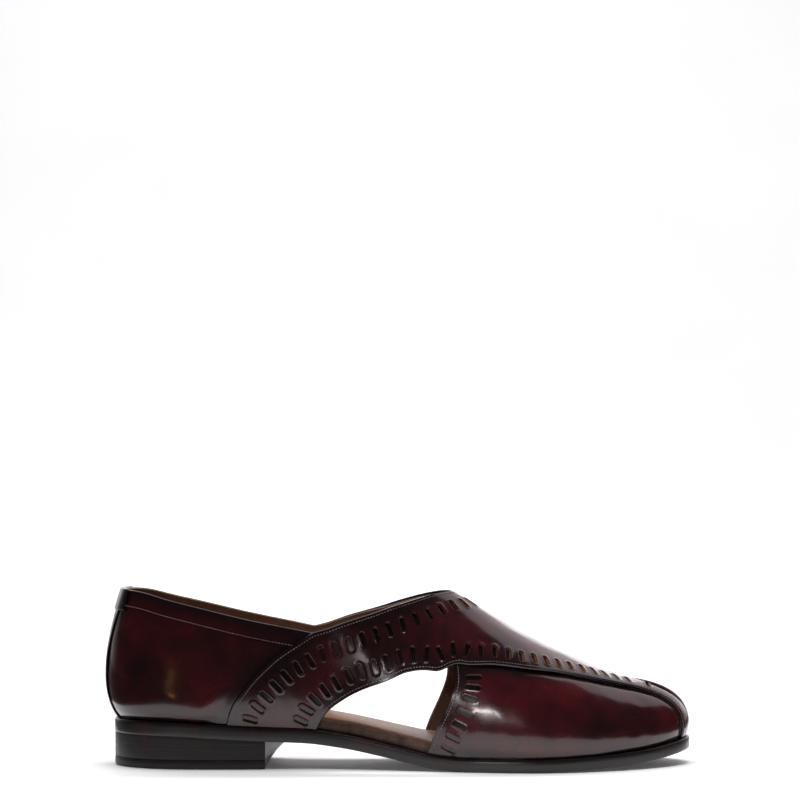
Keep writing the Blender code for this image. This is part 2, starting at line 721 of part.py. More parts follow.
def make_heel_stack(material):
    """Stacked heel block between the outsole and the top piece."""
    low = TOP_PIECE_THICKNESS + FIT_GAP
    rings = []
    for share in (0.0, 0.5, 1.0):
        def height(x, share=share):
            return low + share * (underside(x) - FIT_GAP - low)
        ring = slanted_breast(heel_ring(HEEL_SETBACK, height))
        ring[:, 2] = height(ring[:, 0])
        rings.append(ring)
    return lofted_plate("heel_stack", rings, material)


def make_top_piece(material):
    """Flat wearing piece under the heel."""
    bevel = 0.5 * SOLE_EDGE_ROUND
    floor_ring = heel_ring(HEEL_SETBACK + bevel, np.zeros_like)
    floor_ring[:, 0] = np.minimum(floor_ring[:, 0], HEEL_FRONT_X - bevel)
    rings = [floor_ring]
    for level in (SOLE_EDGE_ROUND, TOP_PIECE_THICKNESS):
        rings.append(slanted_breast(heel_ring(HEEL_SETBACK, lambda x, level=level: np.full_like(x, level))))
    return lofted_plate("heel_top_piece", rings, material)


def inside_ring(inset, rise):
    """Ring inside the upper's wall, at a height above the sole's upper face."""
    halves = []
    for side in (OUTER, INNER):
        line = PlanLine(side, FEATHER_INSET_HEEL + UPPER_WALL + inset, FEATHER_INSET_TOE + UPPER_WALL + inset)
        halves.append(line.at(outline_shares()))
    loop = closed_loop(*halves)
    return np.column_stack([loop, sole_top(loop[:, 0]) + rise])


def make_insole(material):
    """Insole board that fills the plan of the upper, wrapped at its edge."""
    low, high = FIT_GAP, FIT_GAP + INSOLE_THICKNESS
    rings = [
        inside_ring(FIT_GAP, low),
        inside_ring(FIT_GAP, high - SOLE_EDGE_ROUND),
        inside_ring(FIT_GAP + SOLE_EDGE_ROUND, high),
    ]
    return lofted_plate("insole", rings, material)


def make_sock(material):
    """Thin sock lining on the insole."""
    low = 2 * FIT_GAP + INSOLE_THICKNESS
    inset = FIT_GAP + SOLE_EDGE_ROUND + SOCK_INSET
    rings = [inside_ring(inset, low), inside_ring(inset, low + SOCK_THICKNESS)]
    return lofted_plate("sock_lining", rings, material)


def grid_faces(columns, rows, offset=0):
    """Quads of a grid of points stored column by column."""
    faces = []
    for i in range(columns - 1):
        for j in range(rows - 1):
            a = offset + i * rows + j
            faces.append((a, a + rows, a + rows + 1, a + 1))
    return faces


def thick_sheet(name, sheets, low, high, material, flat_foot=False):
    """Closed wall between two offsets of the bare upper's face. sheets holds, for each side,
    grids of shares (s, up). Points of the two sides that fall together become one."""
    points, normals, feet, faces = [], [], [], []
    for side, s, up in sheets:
        offset = sum(len(part) for part in points)
        grid = grid_faces(*s.shape, offset)
        faces += grid if side == OUTER else [tuple(reversed(face)) for face in grid]
        points.append(upper_surface(s, up, side).reshape(-1, 3))
        normals.append(upper_normal(s, up, side).reshape(-1, 3))
        feet.append((up < 1e-9).ravel())
    points, normals, feet = np.concatenate(points), np.concatenate(normals), np.concatenate(feet)
    _, first, joined = np.unique(np.round(points, 6), axis=0, return_index=True, return_inverse=True)
    joined = joined.ravel()
    total = np.zeros((len(first), 3))
    np.add.at(total, joined, normals)
    points, normals, feet = points[first], unit(total), feet[first]
    faces = [tuple(dict.fromkeys(joined[list(face)])) for face in faces]
    outside, inside = points + high * normals, points + low * normals
    if flat_foot:
        level = unit(normals[feet][:, :2])
        inside[feet] = np.column_stack([points[feet][:, :2] + low * level, points[feet][:, 2]])
    for layer in (outside, inside):
        layer[:, 2] = np.maximum(layer[:, 2], sole_top(layer[:, 0]) + FIT_GAP)
    edges = {}
    for face in faces:
        for a, b in zip(face, face[1:] + face[:1]):
            edges[(a, b)] = True
    count = len(points)
    walls = [(b, a, a + count, b + count) for a, b in edges if (b, a) not in edges]
    under = [tuple(count + k for k in reversed(face)) for face in faces]
    return add_object(name, np.concatenate([outside, inside]), faces + under + walls, material)


def upper_grid():
    """Shares (s, up) of the upper's grid, with columns on the notch and the throat."""
    stretches = (
        Stretch(0.0, foot_share(0.10), 6),
        Stretch(foot_share(0.10), NOTCH_SHARE, 8),
        Stretch(NOTCH_SHARE, foot_share(0.52), 6),
        Stretch(foot_share(0.52), THROAT_SHARE, 6),
        Stretch(THROAT_SHARE, foot_share(0.86), 8),
        Stretch(foot_share(0.86), foot_share(0.955), 5),
        Stretch(foot_share(0.955), 1.0, 7),
    )
    s = split_evenly(stretches)
    return np.meshgrid(s, np.linspace(0, 1, UPPER_ROWS + 1), indexing="ij")


def prism(outline, start, end):
    """Points and faces of a prism between two copies of an outline."""
    count = len(outline)
    points = np.concatenate([outline + start, outline + end])
    faces = [(i, (i + 1) % count, count + (i + 1) % count, count + i) for i in range(count)]
    return points, faces + [tuple(reversed(range(count))), tuple(range(count, 2 * count))]


def joined_prisms(name, prisms):
    """One cutter made of several prisms that stay apart."""
    points, faces = [], []
    for part_points, part_faces in prisms:
        offset = sum(len(part) for part in points)
        volume = sum(np.dot(part_points[f[0]], np.cross(part_points[f[k]], part_points[f[k + 1]]))
                     for f in part_faces for k in range(1, len(f) - 1))
        turn = (lambda face: face) if volume > 0 else (lambda face: tuple(reversed(face)))
        faces += [tuple(offset + k for k in turn(face)) for face in part_faces]
        points.append(part_points)
    return add_object(name, np.concatenate(points), faces, None)


def panel_edge():
    """Shares (s, up) of the toe panel's rear edge, from the feather line up to the strap."""
    return smooth_path(np.concatenate([foot_on_feather(AT.panel_foot), seen_from_side(PANEL_REAR_EDGE)]), 60)


def waist_cutter(strap, side):
    """Prism through one side that opens the waist between the strap and the toe panel."""
    edge = panel_edge()
    front = upper_surface(edge[::6, 0], edge[::6, 1], side)
    top = strap.surface(np.linspace(THROAT_CORNER, LEG_FOOT, 26), CUT_OUT_TUCK / STRAP_WIDTH, side)
    ceiling = np.interp(front[:, 0], top[::-1, 0], top[::-1, 2]) - CORNER_CLEARANCE
    outline = np.concatenate([front[front[:, 2] < ceiling], top[top[:, 0] < front[-1, 0]]])
    ends = outline[[-1, 0]] - np.array([0, 0, WAIST_DROP])
    flat = np.concatenate([outline, ends])
    flat[:, 1] = 0
    return prism(flat, np.array([0, side * 0.2 * HEEL_WIDTH, 0]), np.array([0, side * BALL_WIDTH, 0]))


def row_at_distance(grid, edge, distance):
    """On each line across a grid of points, the share at which an edge lies at the distance."""
    gaps = np.linalg.norm(grid[:, :, None, :] - edge[None, None], axis=-1).min(axis=2)
    shares = np.linspace(0, 1, grid.shape[1])
    row = []
    for line, wanted in zip(gaps, np.broadcast_to(distance, len(gaps))):
        order = np.argsort(line)
        row.append(np.interp(wanted, line[order], shares[order], left=np.nan, right=np.nan))
    return np.array(row)


def slot_prisms(s, up, side, count, low, high):
    """Slots punched along a line of shares (s, up), set across it at an even pitch."""
    points = upper_surface(s, up, side)
    normals = upper_normal(s, up, side)
    run = run_lengths(points)
    spots = (np.arange(count) + 0.5) * run[-1] / count
    half, thin = 0.5 * SLOT_LENGTH, 0.5 * SLOT_WIDTH
    shape = [(half - SLOT_POINT, thin), (half, 0), (half - SLOT_POINT, -thin)]
    shape += [(-a, -b) for a, b in shape]
    prisms = []
    for spot in spots:
        centre = np.array([np.interp(spot, run, points[:, k]) for k in range(3)])
        ahead = np.array([np.interp(spot + 1e-3, run, points[:, k]) for k in range(3)])
        behind = np.array([np.interp(spot - 1e-3, run, points[:, k]) for k in range(3)])
        normal = unit(np.array([np.interp(spot, run, normals[:, k]) for k in range(3)]))
        along = ahead - behind
        along = unit(along - normal * np.dot(along, normal))
        across = np.cross(normal, along)
        outline = np.array([centre + a * across + b * along for a, b in shape])
        prisms.append(prism(outline, low * normal, high * normal))
    return prisms


def strap_slots(strap):
    """Cutters of the two rows of slots on each side of the strap."""
    place = np.linspace(TOE_FOOT, LEG_FOOT, 241)
    across = np.linspace(0, 1, 41)
    prisms = []
    low, high = -UPPER_WALL, STRAP_GAP + STRAP_THICKNESS + CUTTER_REACH
    for side in (OUTER, INNER):
        grid = strap.surface(place[:, None], across[None, :], side)
        collar = grid[place >= THROAT_CORNER][:, -1]
        inset = np.interp(place, (RIDGE_END, NOTCH_CORNER), (LOWER_ROW_INSET_TOE, LOWER_ROW_INSET_LEG))
        lower_row = row_at_distance(grid, grid[:, 0], inset)
        upper_row = row_at_distance(grid, collar, UPPER_ROW_INSET)
        for row, slots in ((lower_row, LOWER_ROW), (upper_row, UPPER_ROW)):
            keep = (place > slots.start) & np.isfinite(row)
            s, up = strap.shares(place[keep], row[keep])
            prisms += slot_prisms(s, up, side, slots.count, low, high)
    return joined_prisms("strap_slot_cutters", prisms)


def panel_slots():
    """Cutters of the blind slots beside the rear edge of each toe panel."""
    prisms = []
    edge = panel_edge()
    shift = np.linspace(0, 0.12, 41)
    low, high = -PANEL_SLOT_DEPTH, CUTTER_REACH
    for side in (OUTER, INNER):
        grid = upper_surface(edge[:, 0][:, None] + shift[None, :], edge[:, 1][:, None], side)
        row = row_at_distance(grid, grid[:, 0], PANEL_ROW_INSET)
        s, up = edge[:, 0] + row * shift[-1], edge[:, 1]
        keep = np.isfinite(row) & (up < PANEL_ROW.top)
        prisms += slot_prisms(s[keep], up[keep], side, PANEL_ROW.count, low, high)
    return joined_prisms("panel_slot_cutters", prisms)


def make_upper(strap, material):
    """Quarters, toe panels and the layer under the strap as one hollow wall, open at the collar,
    underneath and at both waists."""
    s, up = upper_grid()
    item = thick_sheet("upper", [(side, s, up) for side in (OUTER, INNER)], -UPPER_WALL, 0.0, material,
                       flat_foot=True)
    cut_away(item, joined_prisms("waist_cutters", [waist_cutter(strap, side) for side in (OUTER, INNER)]))
    cut_away(item, panel_slots())
    return item


def make_strap(strap, material):
    """Vamp with its toe strip and both crossing straps, punched with slots."""
    place = split_evenly(STRAP_STRETCHES)
    grid = np.meshgrid(place, np.linspace(0, 1, STRAP_ROWS + 1), indexing="ij")
    s, up = strap.shares(*grid)
    item = thick_sheet("vamp_strap", [(side, s, up) for side in (OUTER, INNER)],
                       STRAP_GAP, STRAP_GAP + STRAP_THICKNESS, material)
    cut_away(item, strap_slots(strap))
    return item


def make_back_strip(material):
    """Narrow strip up the back seam, wider where it turns over the collar."""
    up = np.linspace(0, 1, 9)
    half = BACK_STRIP_HALF_WIDTH * spline(column(BACK_STRIP, "up"), column(BACK_STRIP, "width"))(up)
    fine = np.linspace(0, 0.3, 200)
    reach = []
    for level, width in zip(up, half):
        run = run_lengths(upper_surface(fine, level, OUTER))
        reach.append(np.interp(width, run, fine))
    s = np.linspace(0, 1, 4)[:, None] * np.array(reach)[None, :]
    level = np.broadcast_to(up, s.shape)
    return thick_sheet("back_strip", [(side, s, level) for side in (OUTER, INNER)],
                       STRAP_GAP, STRAP_GAP + BACK_STRIP_THICKNESS, material)


def main():
    """Build every piece."""
    clear_scene()
    oxblood = make_material("oxblood_leather", (0.055, 0.012, 0.016), 0.22)
    strap_leather = make_material("strap_leather", (0.045, 0.011, 0.014), 0.22)
    sole_leather = make_material("sole_leather", (0.016, 0.011, 0.010), 0.42)
    heel_leather = make_material("heel_leather", (0.018, 0.014, 0.014), 0.45)
    rubber = make_material("top_piece_rubber", (0.014, 0.012, 0.012), 0.60)
    board = make_material("insole_leather", (0.120, 0.060, 0.038), 0.55)
    lining = make_material("sock_leather", (0.330, 0.170, 0.080), 0.60)
    make_outsole(sole_leather)
    make_heel_stack(heel_leather)
    make_top_piece(rubber)
    make_insole(board)
    make_sock(lining)
    strap = Strap()
    make_upper(strap, oxblood)
    make_strap(strap, strap_leather)
    make_back_strip(oxblood)


main()
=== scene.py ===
"""Looks of a peshawari chappal, right foot: polished oxblood leather on a black leather sole.

Units are metres, +Z is up, the toe points to +X and the outer side of the foot is at -Y.

Every sheet of the upper lies on one surface, the last. A point of the last has two shares: s runs
along the feather line, where upper and sole meet, from the back of the heel to the tip of the toe,
and up runs from there to the collar or the ridge. A sheet is a grid of such points that is pushed
out along the last's normals to two heights, one for each of its faces.
"""

import logging
import math
from dataclasses import dataclass, field
from enum import Enum
from typing import Callable, NamedTuple

import bpy
import numpy as np
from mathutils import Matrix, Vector
from mathutils.geometry import delaunay_2d_cdt


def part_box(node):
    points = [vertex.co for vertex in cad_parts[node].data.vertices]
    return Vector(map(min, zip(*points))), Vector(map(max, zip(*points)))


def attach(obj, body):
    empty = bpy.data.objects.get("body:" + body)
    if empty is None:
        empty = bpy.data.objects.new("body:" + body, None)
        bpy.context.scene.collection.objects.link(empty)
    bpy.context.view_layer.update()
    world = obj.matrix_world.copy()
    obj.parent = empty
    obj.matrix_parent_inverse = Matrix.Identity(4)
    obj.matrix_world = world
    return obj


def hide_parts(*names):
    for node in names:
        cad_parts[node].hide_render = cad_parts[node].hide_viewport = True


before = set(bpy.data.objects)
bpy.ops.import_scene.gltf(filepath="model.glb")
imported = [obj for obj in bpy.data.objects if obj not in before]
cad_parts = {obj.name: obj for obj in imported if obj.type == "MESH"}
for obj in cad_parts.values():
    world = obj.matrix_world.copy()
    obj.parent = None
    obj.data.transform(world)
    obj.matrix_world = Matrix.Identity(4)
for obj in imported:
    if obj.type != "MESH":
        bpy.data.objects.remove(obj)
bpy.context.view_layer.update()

LOG = logging.getLogger("chappal")
Array = np.ndarray
Curve = Callable[[Array], Array]
MM = 0.001
# Angle in degrees past which an edge is shown sharp
SHARP_FROM = 50.0


class Side(Enum):
    """Side of the foot, with its sign along Y."""

    OUTER = -1
    INNER = 1


SIDES = (Side.OUTER, Side.INNER)


# Numbers of the last


class OutlineRow(NamedTuple):
    """Half widths of the sole's plan at a share of its length, as shares of the width it follows."""

    along: float
    follows: str
    outer: float
    inner: float


class PairRow(NamedTuple):
    """A value at a share of the sole's length."""

    along: float
    value: float


class UndersideRow(NamedTuple):
    """Height of the sole's underside, as shares of the heel's height and of the toe's spring."""

    along: float
    heel: float
    spring: float


class RidgeRow(NamedTuple):
    """Ridge of the last: rise is 0 at the toe box and 1 at the instep, swing follows the toe's."""

    along: float
    rise: float
    swing: float


class Section(NamedTuple):
    """Cubic section of the last, from foot on the feather line to top on the ridge or the ankle.

    side and height place the ends above the collar, as shares of the ankle's width and height.
    The leans, drop and turn are in degrees, and both pulls are shares of the straight distance.
    """

    foot: float
    top: float
    side: float | None
    height: float | None
    lean_outer: float
    lean_inner: float
    low_pull: float
    drop: float
    turn: float
    top_pull: float


def table(kind: type, *values: tuple) -> tuple:
    """Rows of one kind, from their plain values."""
    return tuple(kind(*row) for row in values)


OUTLINE = table(
    OutlineRow,
    (0.030, "heel", 0.311, 0.311), (0.081, "heel", 0.447, 0.440), (0.151, "heel", 0.500, 0.485),
    (0.221, "heel", 0.500, 0.480), (0.299, "waist", 0.557, 0.500), (0.379, "waist", 0.557, 0.442),
    (0.460, "waist", 0.620, 0.434), (0.540, "ball", 0.418, 0.291), (0.621, "ball", 0.480, 0.383),
    (0.681, "ball", 0.510, 0.449), (0.721, "ball", 0.516, 0.480), (0.779, "ball", 0.492, 0.495),
    (0.849, "toe", 0.596, 0.662), (0.909, "toe", 0.441, 0.559), (0.950, "toe", 0.294, 0.456),
    (0.980, "toe", 0.147, 0.338),
)
UNDERSIDE = table(
    UndersideRow,
    (0.000, 1.00, 0.00), (0.094, 0.98, 0.00), (0.181, 0.90, 0.00), (0.265, 0.82, 0.00), (0.332, 0.77, 0.00),
    (0.403, 0.61, 0.00), (0.453, 0.44, 0.00), (0.503, 0.25, 0.00), (0.555, 0.07, 0.00), (0.600, 0.00, 0.00),
    (0.722, 0.00, 0.00), (0.836, 0.00, 0.17), (0.893, 0.00, 0.33), (0.940, 0.00, 0.54), (0.975, 0.00, 0.78),
    (1.000, 0.00, 1.00),
)
NOTCH = 0.3465
THROAT = 0.586
RIDGE = table(
    RidgeRow,
    (0.440, 1.500, 0.00), (0.500, 1.320, 0.00), (0.545, 1.140, 0.00), (THROAT, 1.000, 0.00),
    (0.617, 0.881, 0.00), (0.652, 0.734, 0.00), (0.704, 0.534, 0.00), (0.756, 0.360, 0.10),
    (0.808, 0.209, 0.22), (0.860, 0.073, 0.38), (0.899, 0.000, 0.54),
)
# Collar of the quarters, from the notch's height at 0 to the back's at 1
QUARTER_TOPLINE = table(
    PairRow,
    (-0.030, 1.000), (0.030, 1.000), (0.062, 0.929), (0.085, 0.838), (0.140, 0.643), (0.205, 0.419),
    (0.245, 0.290), (0.297, 0.143), (NOTCH, 0.000),
)
# Collar along the strap, from the notch's height at 0 to the instep's at 1
THROAT_TOPLINE = table(
    PairRow,
    (NOTCH, 0.000), (0.363, 0.064), (0.401, 0.270), (0.440, 0.457), (0.478, 0.640), (0.517, 0.830),
    (0.537, 0.915), (0.556, 0.975), (0.571, 1.005), (THROAT, 1.000),
)
SECTIONS = table(
    Section,
    (0.000, 0.044, 0.000, 1.000, 38, 38, 0.245, 65, -90, 0.335),
    (0.030, 0.056, 0.215, 1.000, 32, 32, 0.245, 70, -48, 0.325),
    (0.100, 0.106, 0.400, 0.992, 24, 25, 0.245, 77, -18, 0.310),
    (0.200, 0.195, 0.495, 0.975, 18, 22, 0.250, 80, 0, 0.300),
    (0.300, 0.285, 0.490, 0.965, 15, 25, 0.260, 78, 0, 0.290),
    (0.385, 0.362, 0.390, 0.955, 12, 30, 0.275, 70, 0, 0.280),
    (0.462, 0.430, 0.220, 0.945, 12, 32, 0.300, 52, 0, 0.275),
    (0.520, 0.485, None, None, 13, 29, 0.330, 28, 0, 0.265),
    (0.572, 0.536, None, None, 15, 24, 0.360, 11, 0, 0.250),
    (0.622, THROAT, None, None, 18, 21, 0.390, 0, 0, 0.240),
    (0.720, 0.690, None, None, 20, 20, 0.420, 0, 0, 0.320),
    (0.820, 0.790, None, None, 20, 20, 0.420, 0, 4, 0.390),
    (0.905, 0.856, None, None, 20, 20, 0.400, 0, 22, 0.460),
    (0.968, 0.888, None, None, 20, 20, 0.385, 0, 56, 0.545),
    (1.000, 0.899, None, None, 19, 19, 0.375, 0, 90, 0.610),
)
# Edges seen from the side, as shares of the height of the profile there
STRAP_LOWER_EDGE = table(
    PairRow,
    (0.962, 0.874), (0.938, 0.904), (0.892, 0.939), (0.829, 0.909), (0.768, 0.852), (0.708, 0.777),
    (0.648, 0.700), (0.593, 0.625), (0.528, 0.596), (0.466, 0.559), (0.415, 0.513), (0.392, 0.473),
    (0.365, 0.391),
)
STRAP_REAR_EDGE = table(
    PairRow,
    (0.317, 0.896), (0.291, 0.809), (0.271, 0.729), (0.244, 0.608), (0.224, 0.499), (0.209, 0.407),
)
PANEL_REAR_EDGE = table(
    PairRow,
    (0.560, 0.255), (0.577, 0.376), (0.589, 0.501), (0.587, 0.629),
)
LEG_FRONT_FOOT = 0.351
LEG_REAR_FOOT = 0.197
PANEL_FOOT = 0.5445
ACROSS_FROM_CORNERS = (0.880, 0.628, 0.430)


# Curves


def column(rows: tuple, name: str) -> Array:
    """One named column of a table, as an array."""
    return np.array([getattr(row, name) for row in rows], dtype=float)


def hermite(xs: Array, ys: Array, grade: Array) -> Curve:
    """Piecewise cubic through points with the given slopes.

    Args:
        xs: Rising places of the points.
        ys: Values there, one number or one row each.
        grade: Slopes there.

    Returns:
        A function that evaluates the curve at any array of places.
    """
    def at(x: Array) -> Array:
        x = np.clip(x, xs[0], xs[-1])
        i = np.clip(np.searchsorted(xs, x, side="right") - 1, 0, len(xs) - 2)
        span = xs[i + 1] - xs[i]
        u = (x - xs[i]) / span
        if ys.ndim == 2:
            u, span = u[..., None], span[..., None]
        return (ys[i] * (1 + 2 * u) * (1 - u) ** 2 + ys[i + 1] * u * u * (3 - 2 * u)
                + grade[i] * span * u * (1 - u) ** 2 - grade[i + 1] * span * u * u * (1 - u))
    return at


def spline(xs: Array, ys: Array, start: object = None, end: object = None) -> Curve:
    """Cubic spline, smooth in its second slope.

    Args:
        xs: Rising places of the points.
        ys: Values there.
        start: Slope at the first point, or None for a free end.
        end: Slope at the last point, or None for a free end.

    Returns:
        The curve as a function.
    """
    xs, ys = np.asarray(xs, float), np.asarray(ys, float)
    step = np.diff(xs)
    rise = np.diff(ys, axis=0) / step.reshape((-1,) + (1,) * (ys.ndim - 1))
    system = np.zeros((len(xs), len(xs)))
    right = np.zeros_like(ys)
    for i in range(1, len(xs) - 1):
        system[i, i - 1:i + 2] = step[i], 2 * (step[i - 1] + step[i]), step[i - 1]
        right[i] = 3 * (step[i] * rise[i - 1] + step[i - 1] * rise[i])
    system[0, :2], right[0] = (2, 1), 3 * rise[0]
    if start is not None:
        system[0, :2], right[0] = (1, 0), start
    system[-1, -2:], right[-1] = (1, 2), 3 * rise[-1]
    if end is not None:
        system[-1, -2:], right[-1] = (0, 1), end
    return hermite(xs, ys, np.linalg.solve(system, right))


def steady(xs: Array, ys: Array) -> Curve:
    """Curve through points that never swings past them: its slopes are harmonic means."""
    xs, ys = np.asarray(xs, float), np.asarray(ys, float)
    step = np.diff(xs)
    rise = np.diff(ys) / step
    before, after = rise[:-1], rise[1:]
    same_way = before * after > 0
    first = 2 * step[1:] + step[:-1]
    second = step[1:] + 2 * step[:-1]
    mean = (first + second) / (first / np.where(same_way, before, 1) + second / np.where(same_way, after, 1))
    return hermite(xs, ys, np.concatenate([[rise[0]], np.where(same_way, mean, 0), [rise[-1]]]))


def unit(vectors: Array) -> Array:
    """Vectors of length one."""
    return vectors / np.maximum(np.linalg.norm(vectors, axis=-1, keepdims=True), 1e-12)


def run_lengths(points: Array) -> Array:
    """Distance run along a line of points."""
    return np.concatenate([[0], np.cumsum(np.linalg.norm(np.diff(points, axis=0), axis=1))])


def walk(points: Array, spots: Array) -> Array:
    """Points at distances along a line of points."""
    run = run_lengths(points)
    return np.stack([np.interp(spots, run, points[:, k]) for k in range(points.shape[1])], -1)


def smoothstep(low: float, high: float, x: Array) -> Array:
    """Share that eases from 0 at low to 1 at high."""
    t = np.clip((x - low) / (high - low), 0, 1)
    return t * t * (3 - 2 * t)


def ripple(points: Array, length: float, seed: int) -> Array:
    """Soft unevenness of hand work, between about -1 and 1.

    The sum of seven plane waves that run in random directions, near one wave length.

    Args:
        points: Places in metres.
        length: Wave length in metres.
        seed: Number that fixes the directions.

    Returns:
        One value for each point.
    """
    rng = np.random.default_rng(seed)
    ways = unit(rng.normal(size=(7, 3))) * (2 * np.pi / length) * rng.uniform(0.6, 1.5, (7, 1))
    return np.sin(points @ ways.T + rng.uniform(0, 2 * np.pi, 7)).sum(-1) / 3.5


# The last


class PlanLine:
    """The sole's plan outline set in by a distance, as one half from back to tip."""

    SAMPLES = 801

    def __init__(self, sizes: "ShoeSizes", side: Side, inset_heel: float, inset_toe: float) -> None:
        """Work out the half outline.

        Args:
            sizes: The shoe's sizes.
            side: Which half.
            inset_heel: Distance inside the sole's edge at the back of the heel.
            inset_toe: The same at the tip of the toe.
        """
        share = column(OUTLINE, side.name.lower())
        width = np.array([sizes.widths[row.follows] for row in OUTLINE])
        middle = np.column_stack([sizes.x(column(OUTLINE, "along")), side.value * share * width])
        back, tip = [[sizes.back_x, 0.0]], [[sizes.back_x + sizes.length, sizes.tip_swing]]
        points = np.concatenate([back, middle, tip])
        run = run_lengths(points)
        curve = spline(run, points, start=(0, side.value), end=(0, -side.value))
        dense = curve(np.linspace(0, run[-1], self.SAMPLES))
        tangent = unit(np.gradient(dense, axis=0))
        outward = side.value * np.column_stack([-tangent[:, 1], tangent[:, 0]])
        outward[0], outward[-1] = (-1, 0), (1, 0)
        inset = inset_heel + (inset_toe - inset_heel) * np.linspace(0, 1, self.SAMPLES)[:, None]
        self.points = dense - outward * inset
        self.outward = outward
        self.run = run_lengths(self.points)
        self.length = self.run[-1]
        self.share = self.run / self.length

    def at(self, share: Array) -> Array:
        """Points in plan at shares of the half's length."""
        return np.stack([np.interp(share, self.share, self.points[:, k]) for k in (0, 1)], -1)

    def normal(self, share: Array) -> Array:
        """Outward directions in plan."""
        return unit(np.stack([np.interp(share, self.share, self.outward[:, k]) for k in (0, 1)], -1))

    def share_at(self, x: Array) -> Array:
        """Share of the half's length at which it passes x."""
        return np.interp(x, self.points[:, 0], self.share)


@dataclass
class ShoeSizes:
    """Driving sizes of the shoe, with its length and place taken from the frame's outsole."""

    ball_width: float = 0.098
    waist_width: float = 0.0565
    heel_width: float = 0.066
    toe_width: float = 0.068
    tip_swing: float = 0.007
    sole_thickness: float = 0.0062
    seat_thickness: float = 0.0072
    toe_spring: float = 0.0080
    heel_height: float = 0.0170
    heel_length: float = 0.079
    feather_inset_heel: float = 0.0019
    feather_inset_toe: float = 0.0034
    back_height: float = 0.0900
    notch_height: float = 0.0690
    instep_height: float = 0.0876
    toe_box_height: float = 0.0421
    ankle_height: float = 0.1120
    ankle_width: float = 0.0510
    fit_gap: float = 0.0003
    back_x: float = field(init=False)
    length: float = field(init=False)

    def __post_init__(self) -> None:
        """Read the outsole's place and length."""
        low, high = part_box("outsole")
        self.back_x = low.x
        self.length = high.x - low.x
        self.widths = {"ball": self.ball_width, "waist": self.waist_width,
                       "heel": self.heel_width, "toe": self.toe_width}
        self.underside = steady(
            self.x(column(UNDERSIDE, "along")),
            column(UNDERSIDE, "heel") * self.heel_height + column(UNDERSIDE, "spring") * self.toe_spring)
        self.depth = steady(self.x([0, 0.30, 0.62, 1.0]),
                            [self.seat_thickness] * 2 + [self.sole_thickness] * 2)

    def x(self, along: Array) -> Array:
        """Place along the shoe in metres, from a share of its length."""
        return self.back_x + np.asarray(along, float) * self.length

    def sole_top(self, x: Array) -> Array:
        """Height of the sole's upper face."""
        return self.underside(x) + self.depth(x)


